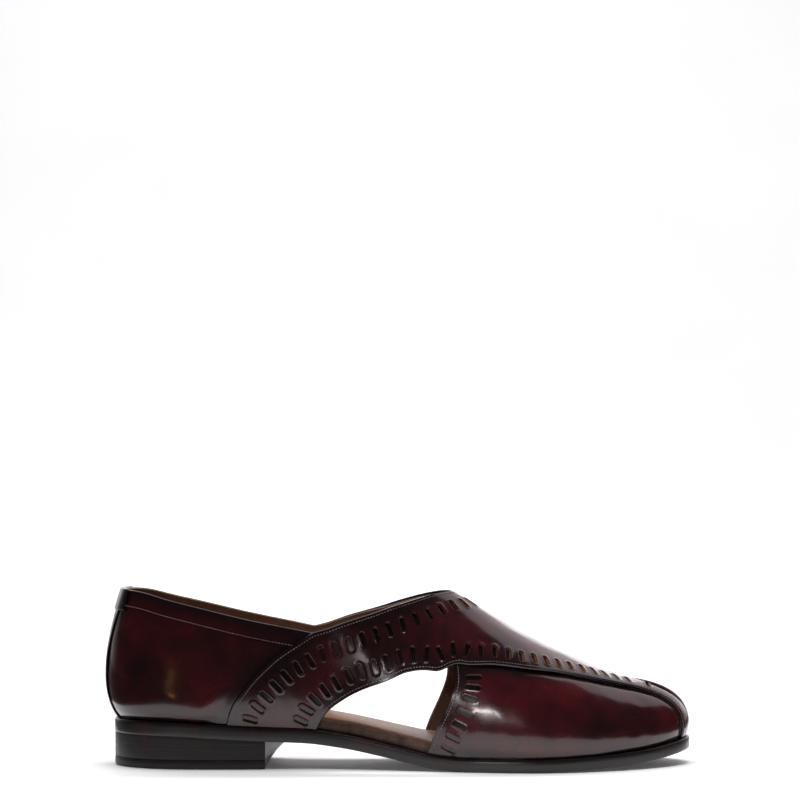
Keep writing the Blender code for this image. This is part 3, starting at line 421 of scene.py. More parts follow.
class Last:
    """The form that the upper is pulled over, as a surface of two shares."""

    def __init__(self, sizes: ShoeSizes) -> None:
        """Work out the last's curves from the shoe's sizes."""
        self.sizes = sizes
        x = sizes.x
        self.feather = {side: PlanLine(sizes, side, sizes.feather_inset_heel, sizes.feather_inset_toe)
                        for side in SIDES}
        box, instep = sizes.toe_box_height, sizes.instep_height
        self.ridge_height = spline(x(column(RIDGE, "along")), box + column(RIDGE, "rise") * (instep - box))
        self.ridge_swing = spline(x(column(RIDGE, "along")), column(RIDGE, "swing") * sizes.tip_swing, start=0)
        notch = sizes.notch_height
        self.quarter_top = spline(x(column(QUARTER_TOPLINE, "along")),
                                  notch + column(QUARTER_TOPLINE, "value") * (sizes.back_height - notch))
        self.throat_top = spline(x(column(THROAT_TOPLINE, "along")),
                                 notch + column(THROAT_TOPLINE, "value") * (instep - notch))
        self.section_shares = self.foot_share(column(SECTIONS, "foot"))
        self.top_x = spline(self.section_shares, x(column(SECTIONS, "top")), start=0, end=0)
        ankle = [row for row in SECTIONS if row.side is not None]
        first_on_ridge = SECTIONS[len(ankle)]
        self.ankle_shares = self.section_shares[:len(ankle) + 1]
        self.ankle_side = spline(self.ankle_shares,
                                 np.append(column(ankle, "side"), 0.0) * sizes.ankle_width, end=0)
        heights = np.append(column(ankle, "height") * sizes.ankle_height,
                            self.ridge_height(x(first_on_ridge.top)))
        self.ankle_high = spline(self.ankle_shares, heights, start=0)
        self.handles = {name: spline(self.section_shares, column(SECTIONS, name), start=0, end=0)
                        for name in ("lean_outer", "lean_inner", "low_pull", "drop", "top_pull")}
        self.handles["turn"] = spline(self.section_shares, column(SECTIONS, "turn"))
        self.limit_shares = np.unique(np.concatenate([np.linspace(0, 1, 801), self.section_shares]))
        self.limits = {side: self.collar_limit(side) for side in SIDES}
        throat_section = [row.top for row in SECTIONS].index(THROAT)
        self.throat = float(self.section_shares[throat_section])
        soft_shares = np.append(self.section_shares[:throat_section + 1], 1.0)
        self.soft_limits = {side: steady(soft_shares, np.interp(soft_shares, self.limit_shares, self.limits[side]))
                            for side in SIDES}
        crest = self.surface(self.limit_shares, 1.0, Side.OUTER)
        self.notch = float(self.limit_shares[np.argmax(crest[:, 0] >= x(NOTCH))])

    def foot_share(self, along: Array) -> Array:
        """Share of the outer feather line at a place along the shoe."""
        line = self.feather[Side.OUTER]
        start, end = line.points[0, 0], line.points[-1, 0]
        return line.share_at(start + np.asarray(along, float) * (end - start))

    def section_points(self, s: Array, side: Side) -> tuple[Array, Array, Array, Array]:
        """Four control points of the cubic sections at shares of the feather line.

        The low handle leans out from upright, the high one drops from level and turns towards the
        toe, and each is as long as its share of the straight distance from foot to top.

        Args:
            s: Shares of the feather line.
            side: Side of the foot.

        Returns:
            The foot, both handles' ends and the top.
        """
        line = self.feather[side]
        plan = line.at(s)
        foot = np.concatenate([plan, (self.sizes.sole_top(plan[..., 0]) + self.sizes.fit_gap)[..., None]], -1)
        x = self.top_x(s)
        on_ridge = s >= self.ankle_shares[-1]
        top = np.stack([x, np.where(on_ridge, self.ridge_swing(x), side.value * self.ankle_side(s)),
                        np.where(on_ridge, self.ridge_height(x), self.ankle_high(s))], -1)
        chord = np.linalg.norm(top - foot, axis=-1)[..., None]
        lean = np.radians(self.handles["lean_" + side.name.lower()](s))[..., None]
        low = np.concatenate([np.sin(lean) * line.normal(s), np.cos(lean)], -1)
        drop = np.radians(self.handles["drop"](s))[..., None]
        turn = np.radians(self.handles["turn"](s))[..., None]
        step = 1e-4
        swing = self.ridge_swing(x + step) - self.ridge_swing(x - step)
        climb = np.where(on_ridge, self.ridge_height(x + step) - self.ridge_height(x - step), 0)
        forward = unit(np.stack([np.full_like(x, 2 * step), swing, climb], -1))
        across = np.zeros_like(forward)
        across[..., 1] = side.value
        level = np.cos(turn) * across + np.sin(turn) * forward
        high = unit(np.cos(drop) * level + np.sin(drop) * np.array([0.0, 0.0, -1.0]))
        low_pull = self.handles["low_pull"](s)[..., None]
        top_pull = self.handles["top_pull"](s)[..., None]
        return foot, foot + low * chord * low_pull, top + high * chord * top_pull, top

    @staticmethod
    def bezier(controls: tuple[Array, ...], t: Array) -> Array:
        """Points of cubic curves: each control point weighed by its term of (1 - t + t) cubed."""
        a, b, c, d = controls
        t = t[..., None]
        return a * (1 - t) ** 3 + 3 * b * t * (1 - t) ** 2 + 3 * c * t * t * (1 - t) + d * t ** 3

    def collar_height(self, x: Array) -> Array:
        """Height of the collar over a place along the shoe, out of reach before the throat."""
        behind = np.where(x < self.sizes.x(NOTCH), self.quarter_top(x), self.throat_top(x))
        return np.where(x < self.sizes.x(THROAT), behind, 1.0)

    def collar_limit(self, side: Side) -> Array:
        """Parameter at which each section reaches the collar, found by halving, or 1 on the ridge."""
        controls = self.section_points(self.limit_shares, side)
        low, high = np.zeros_like(self.limit_shares), np.ones_like(self.limit_shares)
        for _ in range(40):
            middle = 0.5 * (low + high)
            point = self.bezier(controls, middle)
            above = point[..., 2] > self.collar_height(point[..., 0])
            high = np.where(above, middle, high)
            low = np.where(above, low, middle)
        return np.where(low > 1 - 1e-6, 1.0, low)

    def surface(self, s: Array, up: Array, side: Side) -> Array:
        """Points of the last at shares s and up.

        The parameter of the cubic section is up times a soft limit, and eases over to the true
        limit, with the collar's corners, by the sixth power of up.

        Args:
            s: Shares of the feather line.
            up: Shares of the wall.
            side: Side of the foot.

        Returns:
            Points, in metres.
        """
        s, up = np.broadcast_arrays(np.asarray(s, float), np.asarray(up, float))
        limit = np.interp(s, self.limit_shares, self.limits[side])
        soft = self.soft_limits[side](s)
        return self.bezier(self.section_points(s, side), up * soft * (1 - (1 - limit / soft) * up ** 6))

    def normal(self, s: Array, up: Array, side: Side) -> Array:
        """Outward directions of the last, from the cross product of its two slopes."""
        s, up = np.broadcast_arrays(np.asarray(s, float), np.asarray(up, float))
        step = 1e-3
        off_ridge = np.minimum(up, 0.97)
        along = (self.surface(np.clip(s + step, 0, 1), off_ridge, side)
                 - self.surface(np.clip(s - step, 0, 1), off_ridge, side))
        rising = (self.surface(s, np.clip(up + step, 0, 1), side)
                  - self.surface(s, np.clip(up - step, 0, 1), side))
        return side.value * unit(np.cross(rising, along))

    def profile(self) -> tuple[Array, Array]:
        """Places and heights of the shoe's profile: collar, ridge and front of the toe."""
        crest = self.surface(self.limit_shares, 1.0, Side.OUTER)
        front = self.surface(1.0, np.linspace(1, 0, 201), Side.OUTER)
        line = np.concatenate([crest, front[1:]])
        return np.maximum.accumulate(line[:, 0]), line[:, 2]

    def seen_from_side(self, rows: tuple[PairRow, ...]) -> Array:
        """Shares (s, up) of the points whose side view lies at the rows' places.

        The nearest point of a coarse grid is taken, and Newton's steps end on the place itself.

        Args:
            rows: Places along the shoe, with their shares of the profile's height.

        Returns:
            One pair of shares for each row.
        """
        x = self.sizes.x(column(rows, "along"))
        z = column(rows, "value") * np.interp(x, *self.profile())
        s_grid, up_grid = np.meshgrid(np.linspace(0, 1, 241), np.linspace(0, 1, 81), indexing="ij")
        grid = self.surface(s_grid, up_grid, Side.OUTER)
        found = []
        for target in np.column_stack([x, z]):
            miss = ((grid[..., (0, 2)] - target) ** 2).sum(-1)
            spot = np.unravel_index(np.argmin(miss), miss.shape)
            guess = np.array([s_grid[spot], up_grid[spot]])
            for _ in range(6):
                trial = guess + np.array([[0, 0], [1e-4, 0], [0, 1e-4]])
                seen = self.surface(trial[:, 0], trial[:, 1], Side.OUTER)[:, (0, 2)]
                slope = ((seen[1:] - seen[0]) / 1e-4).T
                guess = np.clip(guess + np.linalg.solve(slope, target - seen[0]), 0.001, 0.999)
            found.append(guess)
        return np.array(found)

    def smooth_path(self, shares: Array, count: int) -> Array:
        """Evenly run points (s, up) of a smooth line through given ones."""
        run = run_lengths(self.surface(shares[:, 0], shares[:, 1], Side.OUTER))
        return spline(run, shares)(np.linspace(0, run[-1], count))

    def on_feather(self, along: float) -> Array:
        """Shares (s, 0) of the feather line's point at a place along the shoe."""
        return np.array([[float(self.foot_share(along)), 0.0]])


# Sheets: domains of two numbers, their mesh, and the way on to the last


Mapping = Callable[[Array, Array], tuple[Array, Array]]


@dataclass
class SlotStyle:
    """A punched slot with its raised lip, in metres."""

    length: float = 0.0078
    width: float = 0.0022
    lip_width: float = 0.0013
    lip_height: float = 0.00020
    edge_drop: float = 0.00022
    corner_points: int = 7
    rings: tuple[float, ...] = (0.0, 0.14, 0.30, 0.50, 0.75, 1.0)

    def outline(self, grow: float) -> Array:
        """Round-ended slot grown by a distance, as (along, across) offsets from its middle."""
        straight = 0.5 * (self.length - self.width)
        turn = np.linspace(-0.5 * np.pi, 0.5 * np.pi, self.corner_points)
        radius = 0.5 * self.width + grow
        end = np.column_stack([straight + radius * np.cos(turn), radius * np.sin(turn)])
        sides = np.linspace(straight, -straight, self.corner_points)[1:-1]
        top = np.column_stack([sides, np.full_like(sides, radius)])
        half = np.concatenate([end, top])
        return np.concatenate([half, -half])

    def height(self, share: Array) -> Array:
        """Rise of the lip at a share of its width: up from a turned-down edge, then eased away."""
        rise = np.sin(np.pi * np.clip(share, 0, 1) ** 0.75) ** 1.3 * self.lip_height
        return rise - self.edge_drop * np.clip(1 - share / 0.14, 0, 1)


@dataclass
class Domain:
    """Triangles over a rectangle of two numbers, with the places of its slots."""

    points: Array
    faces: Array
    slot_of: Array
    lift: Array


def plain_domain(us: Array, vs: Array) -> Domain:
    """Triangles of a plain grid over two rising lists of places."""
    u, v = np.meshgrid(us, vs, indexing="ij")
    index = np.arange(u.size).reshape(u.shape)
    a, b, c, d = (part.ravel() for part in (index[:-1, :-1], index[1:, :-1], index[1:, 1:], index[:-1, 1:]))
    faces = np.concatenate([np.column_stack([a, b, c]), np.column_stack([a, c, d])])
    count = u.size
    return Domain(np.column_stack([u.ravel(), v.ravel()]), faces, np.full(count, -1), np.zeros(count))


def slotted_domain(us: Array, vs: Array, slots: list[Array], style: SlotStyle, clear: list[Array],
                   lengths: tuple[float, float]) -> Domain:
    """Triangles of a grid with slots left out and rings of points round each of them.

    Args:
        us: Places of the grid's columns.
        vs: Places of its rows.
        slots: For each slot, the rings' points in the domain, innermost ring first.
        style: The slot's style.
        clear: For each slot, a grown outline in the domain that no grid point stays inside.
        lengths: Real lengths of a step of one in both numbers, so that triangles come out even.

    Returns:
        The domain. Its lift is the lip's rise at each point.
    """
    u, v = np.meshgrid(us, vs, indexing="ij")
    grid = np.column_stack([u.ravel(), v.ravel()])
    keep = np.ones(len(grid), bool)
    for hull in clear:
        low, high = hull.min(0), hull.max(0)
        near = np.flatnonzero(((grid > low) & (grid < high)).all(1))
        after = np.roll(hull, -1, axis=0)
        at, level = grid[near, 0][:, None], grid[near, 1][:, None]
        spans = (hull[:, 1] > level) != (after[:, 1] > level)
        rise = np.where(after[:, 1] == hull[:, 1], 1.0, after[:, 1] - hull[:, 1])
        meets = hull[:, 0] + (after[:, 0] - hull[:, 0]) * (level - hull[:, 1]) / rise
        keep[near[(spans & (at < meets)).sum(1) % 2 == 1]] = False
    grid = grid[keep]
    count = len(grid)
    ring_size = len(slots[0][0])
    ring_count = len(style.rings)
    rings = np.concatenate([np.concatenate(list(rows)) for rows in slots])
    points = np.concatenate([grid, rings])
    slot_of = np.full(len(points), -1)
    ring_of = np.full(len(points), -1)
    slot_of[count:] = np.repeat(np.arange(len(slots)), ring_size * ring_count)
    ring_of[count:] = np.tile(np.repeat(np.arange(ring_count), ring_size), len(slots))
    starts = count + np.arange(len(slots) * ring_count)[:, None] * ring_size
    around = np.arange(ring_size)
    edges = np.stack([starts + around, starts + (around + 1) % ring_size], -1).reshape(-1, 2)
    scale = np.array(lengths) / max(lengths)
    _, _, faces, origins, _, _ = delaunay_2d_cdt(
        [Vector(point) for point in (points * scale).tolist()], edges.tolist(), [], 0, 1e-9)
    first = np.array([rows[0] if rows else -1 for rows in origins])
    faces = first[np.array([face for face in faces if len(face) == 3])]
    faces = faces[(faces >= 0).all(1)]
    inside = (slot_of[faces] >= 0).all(1) & (ring_of[faces] == 0).all(1) & (
        slot_of[faces] == slot_of[faces][:, :1]).all(1)
    faces = faces[~inside]
    first_side, second_side = points[faces[:, 1]] - points[faces[:, 0]], points[faces[:, 2]] - points[faces[:, 0]]
    area = first_side[:, 0] * second_side[:, 1] - first_side[:, 1] * second_side[:, 0]
    faces = faces[np.abs(area) > 1e-12]
    area = area[np.abs(area) > 1e-12]
    faces[area < 0] = faces[area < 0][:, ::-1]
    lift = np.zeros(len(points))
    shares = np.array(style.rings)
    lift[count:] = style.height(shares[ring_of[count:]])
    return Domain(points, faces, slot_of, lift)


def boundary_edges(faces: Array) -> Array:
    """Edges that only one triangle uses, each in that triangle's order."""
    edges = np.concatenate([faces[:, (0, 1)], faces[:, (1, 2)], faces[:, (2, 0)]])
    size = faces.max() + 1
    forward = edges[:, 0] * size + edges[:, 1]
    backward = edges[:, 1] * size + edges[:, 0]
    return edges[~np.isin(forward, backward)]


@dataclass
class SheetStyle:
    """Heights of a sheet's faces over the last, and the rounding of its edge, in metres."""

    low: float
    high: float
    rounding: float = 0.00035


@dataclass
class Shell:
    """A closed shell: points, triangles, named numbers for each point, and each face's material."""

    points: Array
    faces: Array
    numbers: dict[str, Array]
    material_of: Array


def build_sheet(last: Last, domain: Domain, mapping: Mapping, style: SheetStyle,
                numbers: dict[str, Array] | None = None,
                swell: Callable[[Array, Array, Array], Array] | None = None) -> Shell:
    """Closed sheet on the last, with rounded edges.

    Each point of the domain goes to its shares of the last, then out along the normal to the high
    face plus its lift, and to the low face. Points of both sides that fall together become one.
    The wall between the faces is three strips whose middle stands out by the rounding.

    Args:
        last: The last.
        domain: Triangles over two numbers.
        mapping: Gives shares (s, up) of the last for the two numbers.
        style: Heights and rounding.
        numbers: Named numbers for the domain's points, carried to the mesh.
        swell: Extra height from the two numbers and the points, if any.

    Returns:
        The shell, with material 0 on both faces and 1 on the walls of slots.
    """
    s, up = mapping(domain.points[:, 0], domain.points[:, 1])
    numbers = numbers or {}
    parts, normals, faces = [], [], []
    for index, side in enumerate(SIDES):
        parts.append(last.surface(s, up, side))
        normals.append(last.normal(s, up, side))
        turned = domain.faces if side is Side.OUTER else domain.faces[:, ::-1]
        faces.append(turned + index * len(s))
    points, normal, faces = np.concatenate(parts), np.concatenate(normals), np.concatenate(faces)
    lift = np.tile(domain.lift, len(SIDES))
    in_slot = np.tile(domain.slot_of >= 0, len(SIDES))
    carried = {name: np.tile(values, len(SIDES)) for name, values in numbers.items()}
    if swell is not None:
        two = np.tile(domain.points, (len(SIDES), 1))
        lift = lift + swell(two[:, 0], two[:, 1], points)
    _, first, joined = np.unique(np.round(points, 6), axis=0, return_index=True, return_inverse=True)
    joined = joined.ravel()
    total = np.zeros((len(first), 3))
    np.add.at(total, joined, normal)
    points, normal, lift, in_slot = points[first], unit(total), lift[first], in_slot[first]
    carried = {name: values[first] for name, values in carried.items()}
    faces = true_triangles(joined[faces])
    flip = triangle_normals(points, faces)
    wrong = (flip * normal[faces].sum(1)).sum(1) < 0
    faces[wrong] = faces[wrong][:, ::-1]
    high = points + (style.high + lift)[:, None] * normal
    low = points + style.low * normal
    for face in (high, low):
        face[:, 2] = np.maximum(face[:, 2], last.sizes.sole_top(face[:, 0]) + last.sizes.fit_gap)
    return close_sheet(high, low, normal, faces, carried, in_slot, style)


def true_triangles(faces: Array) -> Array:
    """Triangles whose three corners differ."""
    a, b, c = faces.T
    return faces[(a != b) & (b != c) & (a != c)]


def turned_outward(points: Array, faces: Array) -> Array:
    """Triangles of a closed mesh, all reversed if they hold a negative volume."""
    volume = np.einsum("ij,ij->i", points[faces[:, 0]], np.cross(points[faces[:, 1]], points[faces[:, 2]]))
    return faces if volume.sum() > 0 else faces[:, ::-1]


def triangle_normals(points: Array, faces: Array) -> Array:
    """Cross products of each triangle's sides."""
    a, b, c = points[faces[:, 0]], points[faces[:, 1]], points[faces[:, 2]]
    return np.cross(b - a, c - a)


def close_sheet(high: Array, low: Array, normal: Array, faces: Array, numbers: dict[str, Array],
                in_slot: Array, style: SheetStyle) -> Shell:
    """Join two faces of a sheet by a rounded wall along every free edge.

    Args:
        high: Points of the upper face.
        low: Points of the lower face.
        normal: Outward directions.
        faces: Triangles of the upper face.
        numbers: Named numbers for each point.
        in_slot: Which points lie round a slot.
        style: Heights and rounding.

    Returns:
        The closed shell.
    """
    edges = boundary_edges(faces)
    count = len(high)
    sideways = np.zeros_like(high)
    away = np.cross(high[edges[:, 1]] - high[edges[:, 0]], normal[edges[:, 0]])
    np.add.at(sideways, edges[:, 0], unit(away))
    np.add.at(sideways, edges[:, 1], unit(away))
    rim = np.unique(edges)
    place = np.full(count, -1)
    place[rim] = np.arange(len(rim))
    reach = np.where(in_slot[rim], 0.0, style.rounding)[:, None]
    out = unit(sideways[rim]) * reach
    drop = (high[rim] - low[rim]) * np.clip(style.rounding / (style.high - style.low), 0, 0.4)
    upper_ring, lower_ring = high[rim] - drop + out, low[rim] + drop + out
    points = np.concatenate([high, low, upper_ring, lower_ring])
    a, b = edges[:, 0], edges[:, 1]
    ring_a, ring_b = 2 * count + place[a], 2 * count + place[b]
    size = len(rim)
    strips = []
    for low_a, low_b, top_a, top_b in ((ring_a, ring_b, a, b), (ring_a + size, ring_b + size, ring_a, ring_b),
                                       (a + count, b + count, ring_a + size, ring_b + size)):
        strips.append(np.column_stack([low_a, low_b, top_b]))
        strips.append(np.column_stack([low_a, top_b, top_a]))
    walls = np.concatenate(strips)[:, ::-1]
    all_faces = np.concatenate([faces, faces[:, ::-1] + count, walls])
    slot_wall = np.tile(in_slot[a] & in_slot[b], 6)
    material_of = np.concatenate([np.zeros(2 * len(faces), int), slot_wall.astype(int)])
    carried = {name: np.concatenate([values, values, values[rim], values[rim]])
               for name, values in numbers.items()}
    return Shell(points, all_faces, carried, material_of)


def add_piece(name: str, shell: Shell, materials: list) -> bpy.types.Object:
    """One piece of the scene, at the origin, riding on the shoe.

    Args:
        name: Piece's name.
        shell: Its closed mesh.
        materials: Materials, in the order of the shell's numbers.

    Returns:
        The object.
    """
    mesh = bpy.data.meshes.new(name)
    points, faces = np.asarray(shell.points, np.float32), np.asarray(shell.faces, np.int32)
    mesh.vertices.add(len(points))
    mesh.vertices.foreach_set("co", points.ravel())
    mesh.loops.add(faces.size)
    mesh.loops.foreach_set("vertex_index", faces.ravel())
    mesh.polygons.add(len(faces))
    mesh.polygons.foreach_set("loop_start", np.arange(len(faces), dtype=np.int32) * 3)
    mesh.update(calc_edges=True)
    for material in materials:
        mesh.materials.append(material)
    mesh.polygons.foreach_set("material_index", np.asarray(shell.material_of, np.int32))
    for title, values in shell.numbers.items():
        store = mesh.attributes.new(title, "FLOAT", "POINT")
        store.data.foreach_set("value", np.asarray(values, np.float32))
    mesh.shade_smooth()
    mesh.set_sharp_from_angle(angle=math.radians(SHARP_FROM))
    item = bpy.data.objects.new(name, mesh)
    bpy.context.scene.collection.objects.link(item)
    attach(item, "root")
    LOG.info("%s: %d triangles", name, len(faces))
    return item


# Strap, panels and quarters on the last


def distance_to_line(points: Array, line: Array) -> Array:
    """Distance of each point to the nearest point of a dense line, worked out in chunks."""
    chunks = np.array_split(points.reshape(-1, 3), max(1, points.size // 3 // 2000))
    gaps = [np.sqrt(((chunk[:, None] - line[None]) ** 2).sum(-1).min(1)) for chunk in chunks]
    return np.concatenate(gaps).reshape(points.shape[:-1])


def share_at_distance(gaps: Array, shares: Array, wanted: Array) -> Array:
    """On each row of distances, the share at which the distance first reaches the wanted one."""
    beyond = gaps >= wanted[:, None]
    reached = beyond.any(1)
    j = np.clip(np.argmax(beyond, axis=1), 1, None)
    rows = np.arange(len(gaps))
    before, after = gaps[rows, j - 1], gaps[rows, j]
    part = np.clip((wanted - before) / np.maximum(after - before, 1e-9), 0, 1)
    found = shares[j - 1] + (shares[j] - shares[j - 1]) * part
    return np.where(reached, found, np.nan)


@dataclass
class StrapLayout:
    """The strap as a strip: place runs over its corners, across from the lower edge to the upper.

    The corners are 0 at the toe's sole, 1 at the ridge's front end, 2 at the throat, 3 at the notch
    of the collar and 4 at the leg's sole.
    """

    last: Last
    toe_half_width: float = 0.0115
    upper_inset: float = 0.0108
    lower_inset_leg: float = 0.0088
    lower_inset_toe: float = 0.0066
    lower_count: int = 30
    upper_count: int = 20
    lower_start: float = 0.7
    upper_start: float = 1.2

    def __post_init__(self) -> None:
        """Work out both edges of the strip and where its corners lie on them."""
        last = self.last
        toe_foot = np.array([[1 - self.toe_half_width / last.feather[Side.OUTER].length, 0.0]])
        self.lower = last.smooth_path(np.concatenate(
            [toe_foot, last.seen_from_side(STRAP_LOWER_EDGE), last.on_feather(LEG_FRONT_FOOT)]), 300)
        ramp = np.linspace(0, 1, 120)
        ones = np.ones_like(ramp)
        toe = np.column_stack([ones, ramp])
        ridge = np.column_stack([1 + (last.throat - 1) * ramp, ones])
        collar = np.column_stack([last.throat + (last.notch - last.throat) * ramp, ones])
        rear = last.smooth_path(np.concatenate(
            [[[last.notch, 1.0]], last.seen_from_side(STRAP_REAR_EDGE), last.on_feather(LEG_REAR_FOOT)]), 120)
        self.upper = np.concatenate([toe, ridge[1:], collar[1:], rear[1:]])
        self.upper_run = run_lengths(last.surface(self.upper[:, 0], self.upper[:, 1], Side.OUTER))
        lower_points = last.surface(self.lower[:, 0], self.lower[:, 1], Side.OUTER)
        self.lower_run = run_lengths(lower_points)
        corner = len(ramp) - 1
        self.upper_marks = self.upper_run[[0, corner, 2 * corner, 3 * corner, -1]]
        marks = [self.lower_run[np.argmax(lower_points[:, 0] < last.sizes.x(along))]
                 for along in ACROSS_FROM_CORNERS]
        self.lower_marks = np.array([0, *marks, self.lower_run[-1]])
        self.free_upper = {side: last.surface(self.upper[2 * corner:, 0], self.upper[2 * corner:, 1], side)
                           for side in SIDES}
        self.free_lower = {side: last.surface(self.lower[:, 0], self.lower[:, 1], side) for side in SIDES}

    def shares(self, place: Array, across: Array) -> tuple[Array, Array]:
        """Shares (s, up) of the last under points of the strip, straight between its edges."""
        place, across = np.broadcast_arrays(np.asarray(place, float), np.asarray(across, float))
        low_run = np.interp(place, range(5), self.lower_marks)
        top_run = np.interp(place, range(5), self.upper_marks)
        found = []
        for k in (0, 1):
            low = np.interp(low_run, self.lower_run, self.lower[:, k])
            top = np.interp(top_run, self.upper_run, self.upper[:, k])
            found.append(low + (top - low) * across)
        return found[0], found[1]

    def gaps(self, place: Array, across: Array) -> tuple[Array, Array]:
        """Distances of points of the strip to its lower and its free upper edge."""
        s, up = self.shares(place, across)
        points = self.last.surface(s, up, Side.OUTER)
        return (distance_to_line(points, self.free_lower[Side.OUTER]),
                distance_to_line(points, self.free_upper[Side.OUTER]))

    def line_at(self, inset: Array, from_upper: bool, start: float, end: float = 4.0,
                count: int = 500) -> tuple[Array, Array]:
        """Line along the strip at a distance from one of its edges.

        Args:
            inset: Distance, one number or one for each of count places.
            from_upper: Measure from the upper edge instead of the lower one.
            start: Place at which the line starts.
            end: Place at which it ends.
            count: Points of the line.

        Returns:
            Places and across shares of the points that lie at the distance.
        """
        place = np.linspace(start, end, count)
        shares = np.linspace(0, 1, 81)
        gaps = self.gaps(place[:, None], shares[None, :])[1 if from_upper else 0]
        wanted = np.broadcast_to(np.asarray(inset, float), place.shape)
        if from_upper:
            across = 1 - share_at_distance(gaps[:, ::-1], shares, wanted)
            across = np.where(gaps[:, -1] > wanted, np.nan, across)
        else:
            across = share_at_distance(gaps, shares, wanted)
        keep = np.isfinite(across)
        return place[keep], across[keep]

    def slot_rows(self, style: SlotStyle) -> list[tuple[float, float, Array]]:
        """Both rows of slots.

        Args:
            style: The slots' style, for their size.

        Returns:
            For each slot, its place, its across share and the row's direction in the domain.
        """
        found = []
        count = 500
        place = np.linspace(self.lower_start, 4.0, count)
        inset = np.interp(place, (1, 3), (self.lower_inset_toe, self.lower_inset_leg))
        rows = ((self.line_at(inset, False, self.lower_start, 4.0, count), self.lower_count),
                (self.line_at(self.upper_inset, True, self.upper_start, 4.0, count), self.upper_count))
        for (places, across), slots in rows:
            line = np.column_stack([places, across])
            s, up = self.shares(places, across)
            run = run_lengths(self.last.surface(s, up, Side.OUTER))
            spots = (np.arange(slots) + 0.5) * run[-1] / slots
            at = np.stack([np.interp(spots, run, line[:, k]) for k in (0, 1)], -1)
            step = 0.5 * style.width
            ahead = np.stack([np.interp(spots + step, run, line[:, k]) for k in (0, 1)], -1)
            behind = np.stack([np.interp(spots - step, run, line[:, k]) for k in (0, 1)], -1)
            found += [(float(p), float(a), way) for (p, a), way in zip(at, ahead - behind)]
        return found


def settle(last: Last, mapping: Mapping, guess: Array, target: Array) -> Array:
    """Places in a domain whose points lie nearest to targets in space.

    Five Gauss-Newton steps: each solves the two by two normal equations of the mapping's slopes.

    Args:
        last: The last.
        mapping: Gives shares of the last for the domain's numbers.
        guess: First places, one row for each target.
        target: Points in space.

    Returns:
        The places.
    """
    step = 1e-4
    for _ in range(5):
        trial = guess[:, None, :] + np.array([[0, 0], [step, 0], [0, step]])
        s, up = mapping(trial[..., 0], trial[..., 1])
        points = last.surface(s, up, Side.OUTER)
        slopes = (points[:, 1:] - points[:, :1]) / step
        normal = slopes @ slopes.transpose(0, 2, 1)
        right = np.einsum("nij,nj->ni", slopes, target - points[:, 0])
        move = np.linalg.solve(normal + 1e-12 * np.eye(2), right[..., None])[..., 0]
        guess = guess + np.clip(move, -0.2, 0.2)
    return guess


def slot_rings(last: Last, mapping: Mapping, centre: Array, way: Array, style: SlotStyle
               ) -> tuple[Array, Array]:
    """Rings of one slot in a domain.

    The slot lies flat on the last there, square to its row.

    Args:
        last: The last.
        mapping: Gives shares of the last for the domain's numbers.
        centre: Slot's middle in the domain.
        way: Direction of the row in the domain.
        style: Slot's style.

    Returns:
        The rings, innermost first, and a grown outline to keep clear.
    """
    reach = 0.3 * MM / max(float(np.linalg.norm(way)), 1e-9)
    trial = np.stack([centre - way * reach, centre + way * reach, centre])
    s, up = mapping(trial[:, 0], trial[:, 1])
    behind, ahead, middle = last.surface(s, up, Side.OUTER)
    normal = last.normal(s[2:], up[2:], Side.OUTER)[0]
    along = ahead - behind
    along = unit(along - normal * (along @ normal))
    across = np.cross(normal, along)
    outlines = [style.outline(share * style.lip_width) for share in style.rings]
    outlines.append(style.outline(style.lip_width + 0.3 * MM))
    flat = np.concatenate(outlines)
    target = middle + flat[:, :1] * across + flat[:, 1:] * along
    places = settle(last, mapping, np.tile(centre, (len(flat), 1)), target)
    found = places.reshape(len(outlines), -1, 2)
    return found[:-1], found[-1]


@dataclass
class ThreadStyle:
    """A row of stitches, in metres."""

    pitch: float = 0.0016
    length: float = 0.0012
    radius: float = 0.00026
    sink: float = 0.00010


def stitch_row(line: Array, normals: Array, style: ThreadStyle) -> tuple[Array, Array]:
    """Small threads along a line, each with six sides and five rings.

    A thread's middle follows the line and rises over the leather by the sine of its share of the
    way, and its radius follows the root of the sine, so that both ends sink into the leather.

    Args:
        line: Points of the line.
        normals: Outward directions there.
        style: The stitches' sizes.

    Returns:
        Points and triangles of all threads.
    """
    run = run_lengths(line)
    starts = np.arange(0.5 * style.pitch, run[-1] - style.length, style.pitch)
    share = np.linspace(0, 1, 5)
    spots = starts[:, None] + share[None, :] * style.length
    centre = walk(line, spots)
    ahead, behind = walk(line, spots + 0.2 * MM), walk(line, spots - 0.2 * MM)
    along = unit(ahead - behind)
    up = np.stack([np.interp(spots, run, normals[:, k]) for k in range(3)], -1)
    up = unit(up - along * (up * along).sum(-1, keepdims=True))
    across = np.cross(along, up)
    rise = np.sin(np.pi * share)
    radius = style.radius * np.sqrt(0.12 + 0.88 * rise)
    centre = centre + up * (rise * style.radius * 0.9 - style.sink)[None, :, None]
    turn = np.linspace(0, 2 * np.pi, 7)[:-1]
    ring = (np.cos(turn)[:, None] * across[:, :, None, :] + np.sin(turn)[:, None] * up[:, :, None, :])
    points = (centre[:, :, None, :] + radius[None, :, None, None] * ring).reshape(-1, 3)
    i, k = np.meshgrid(np.arange(4), np.arange(6), indexing="ij")
    a, b = (i * 6 + k).ravel(), (i * 6 + (k + 1) % 6).ravel()
    quads = np.concatenate([np.column_stack([a, b, b + 6]), np.column_stack([a, b + 6, a + 6])])
    caps = np.array([[0, k + 1, k] for k in range(1, 5)] + [[24, 24 + k, 25 + k] for k in range(1, 5)])
    one = np.concatenate([quads, caps])
    faces = (one[None] + (np.arange(len(starts)) * 30)[:, None, None]).reshape(-1, 3)
    return points, turned_outward(points, faces)


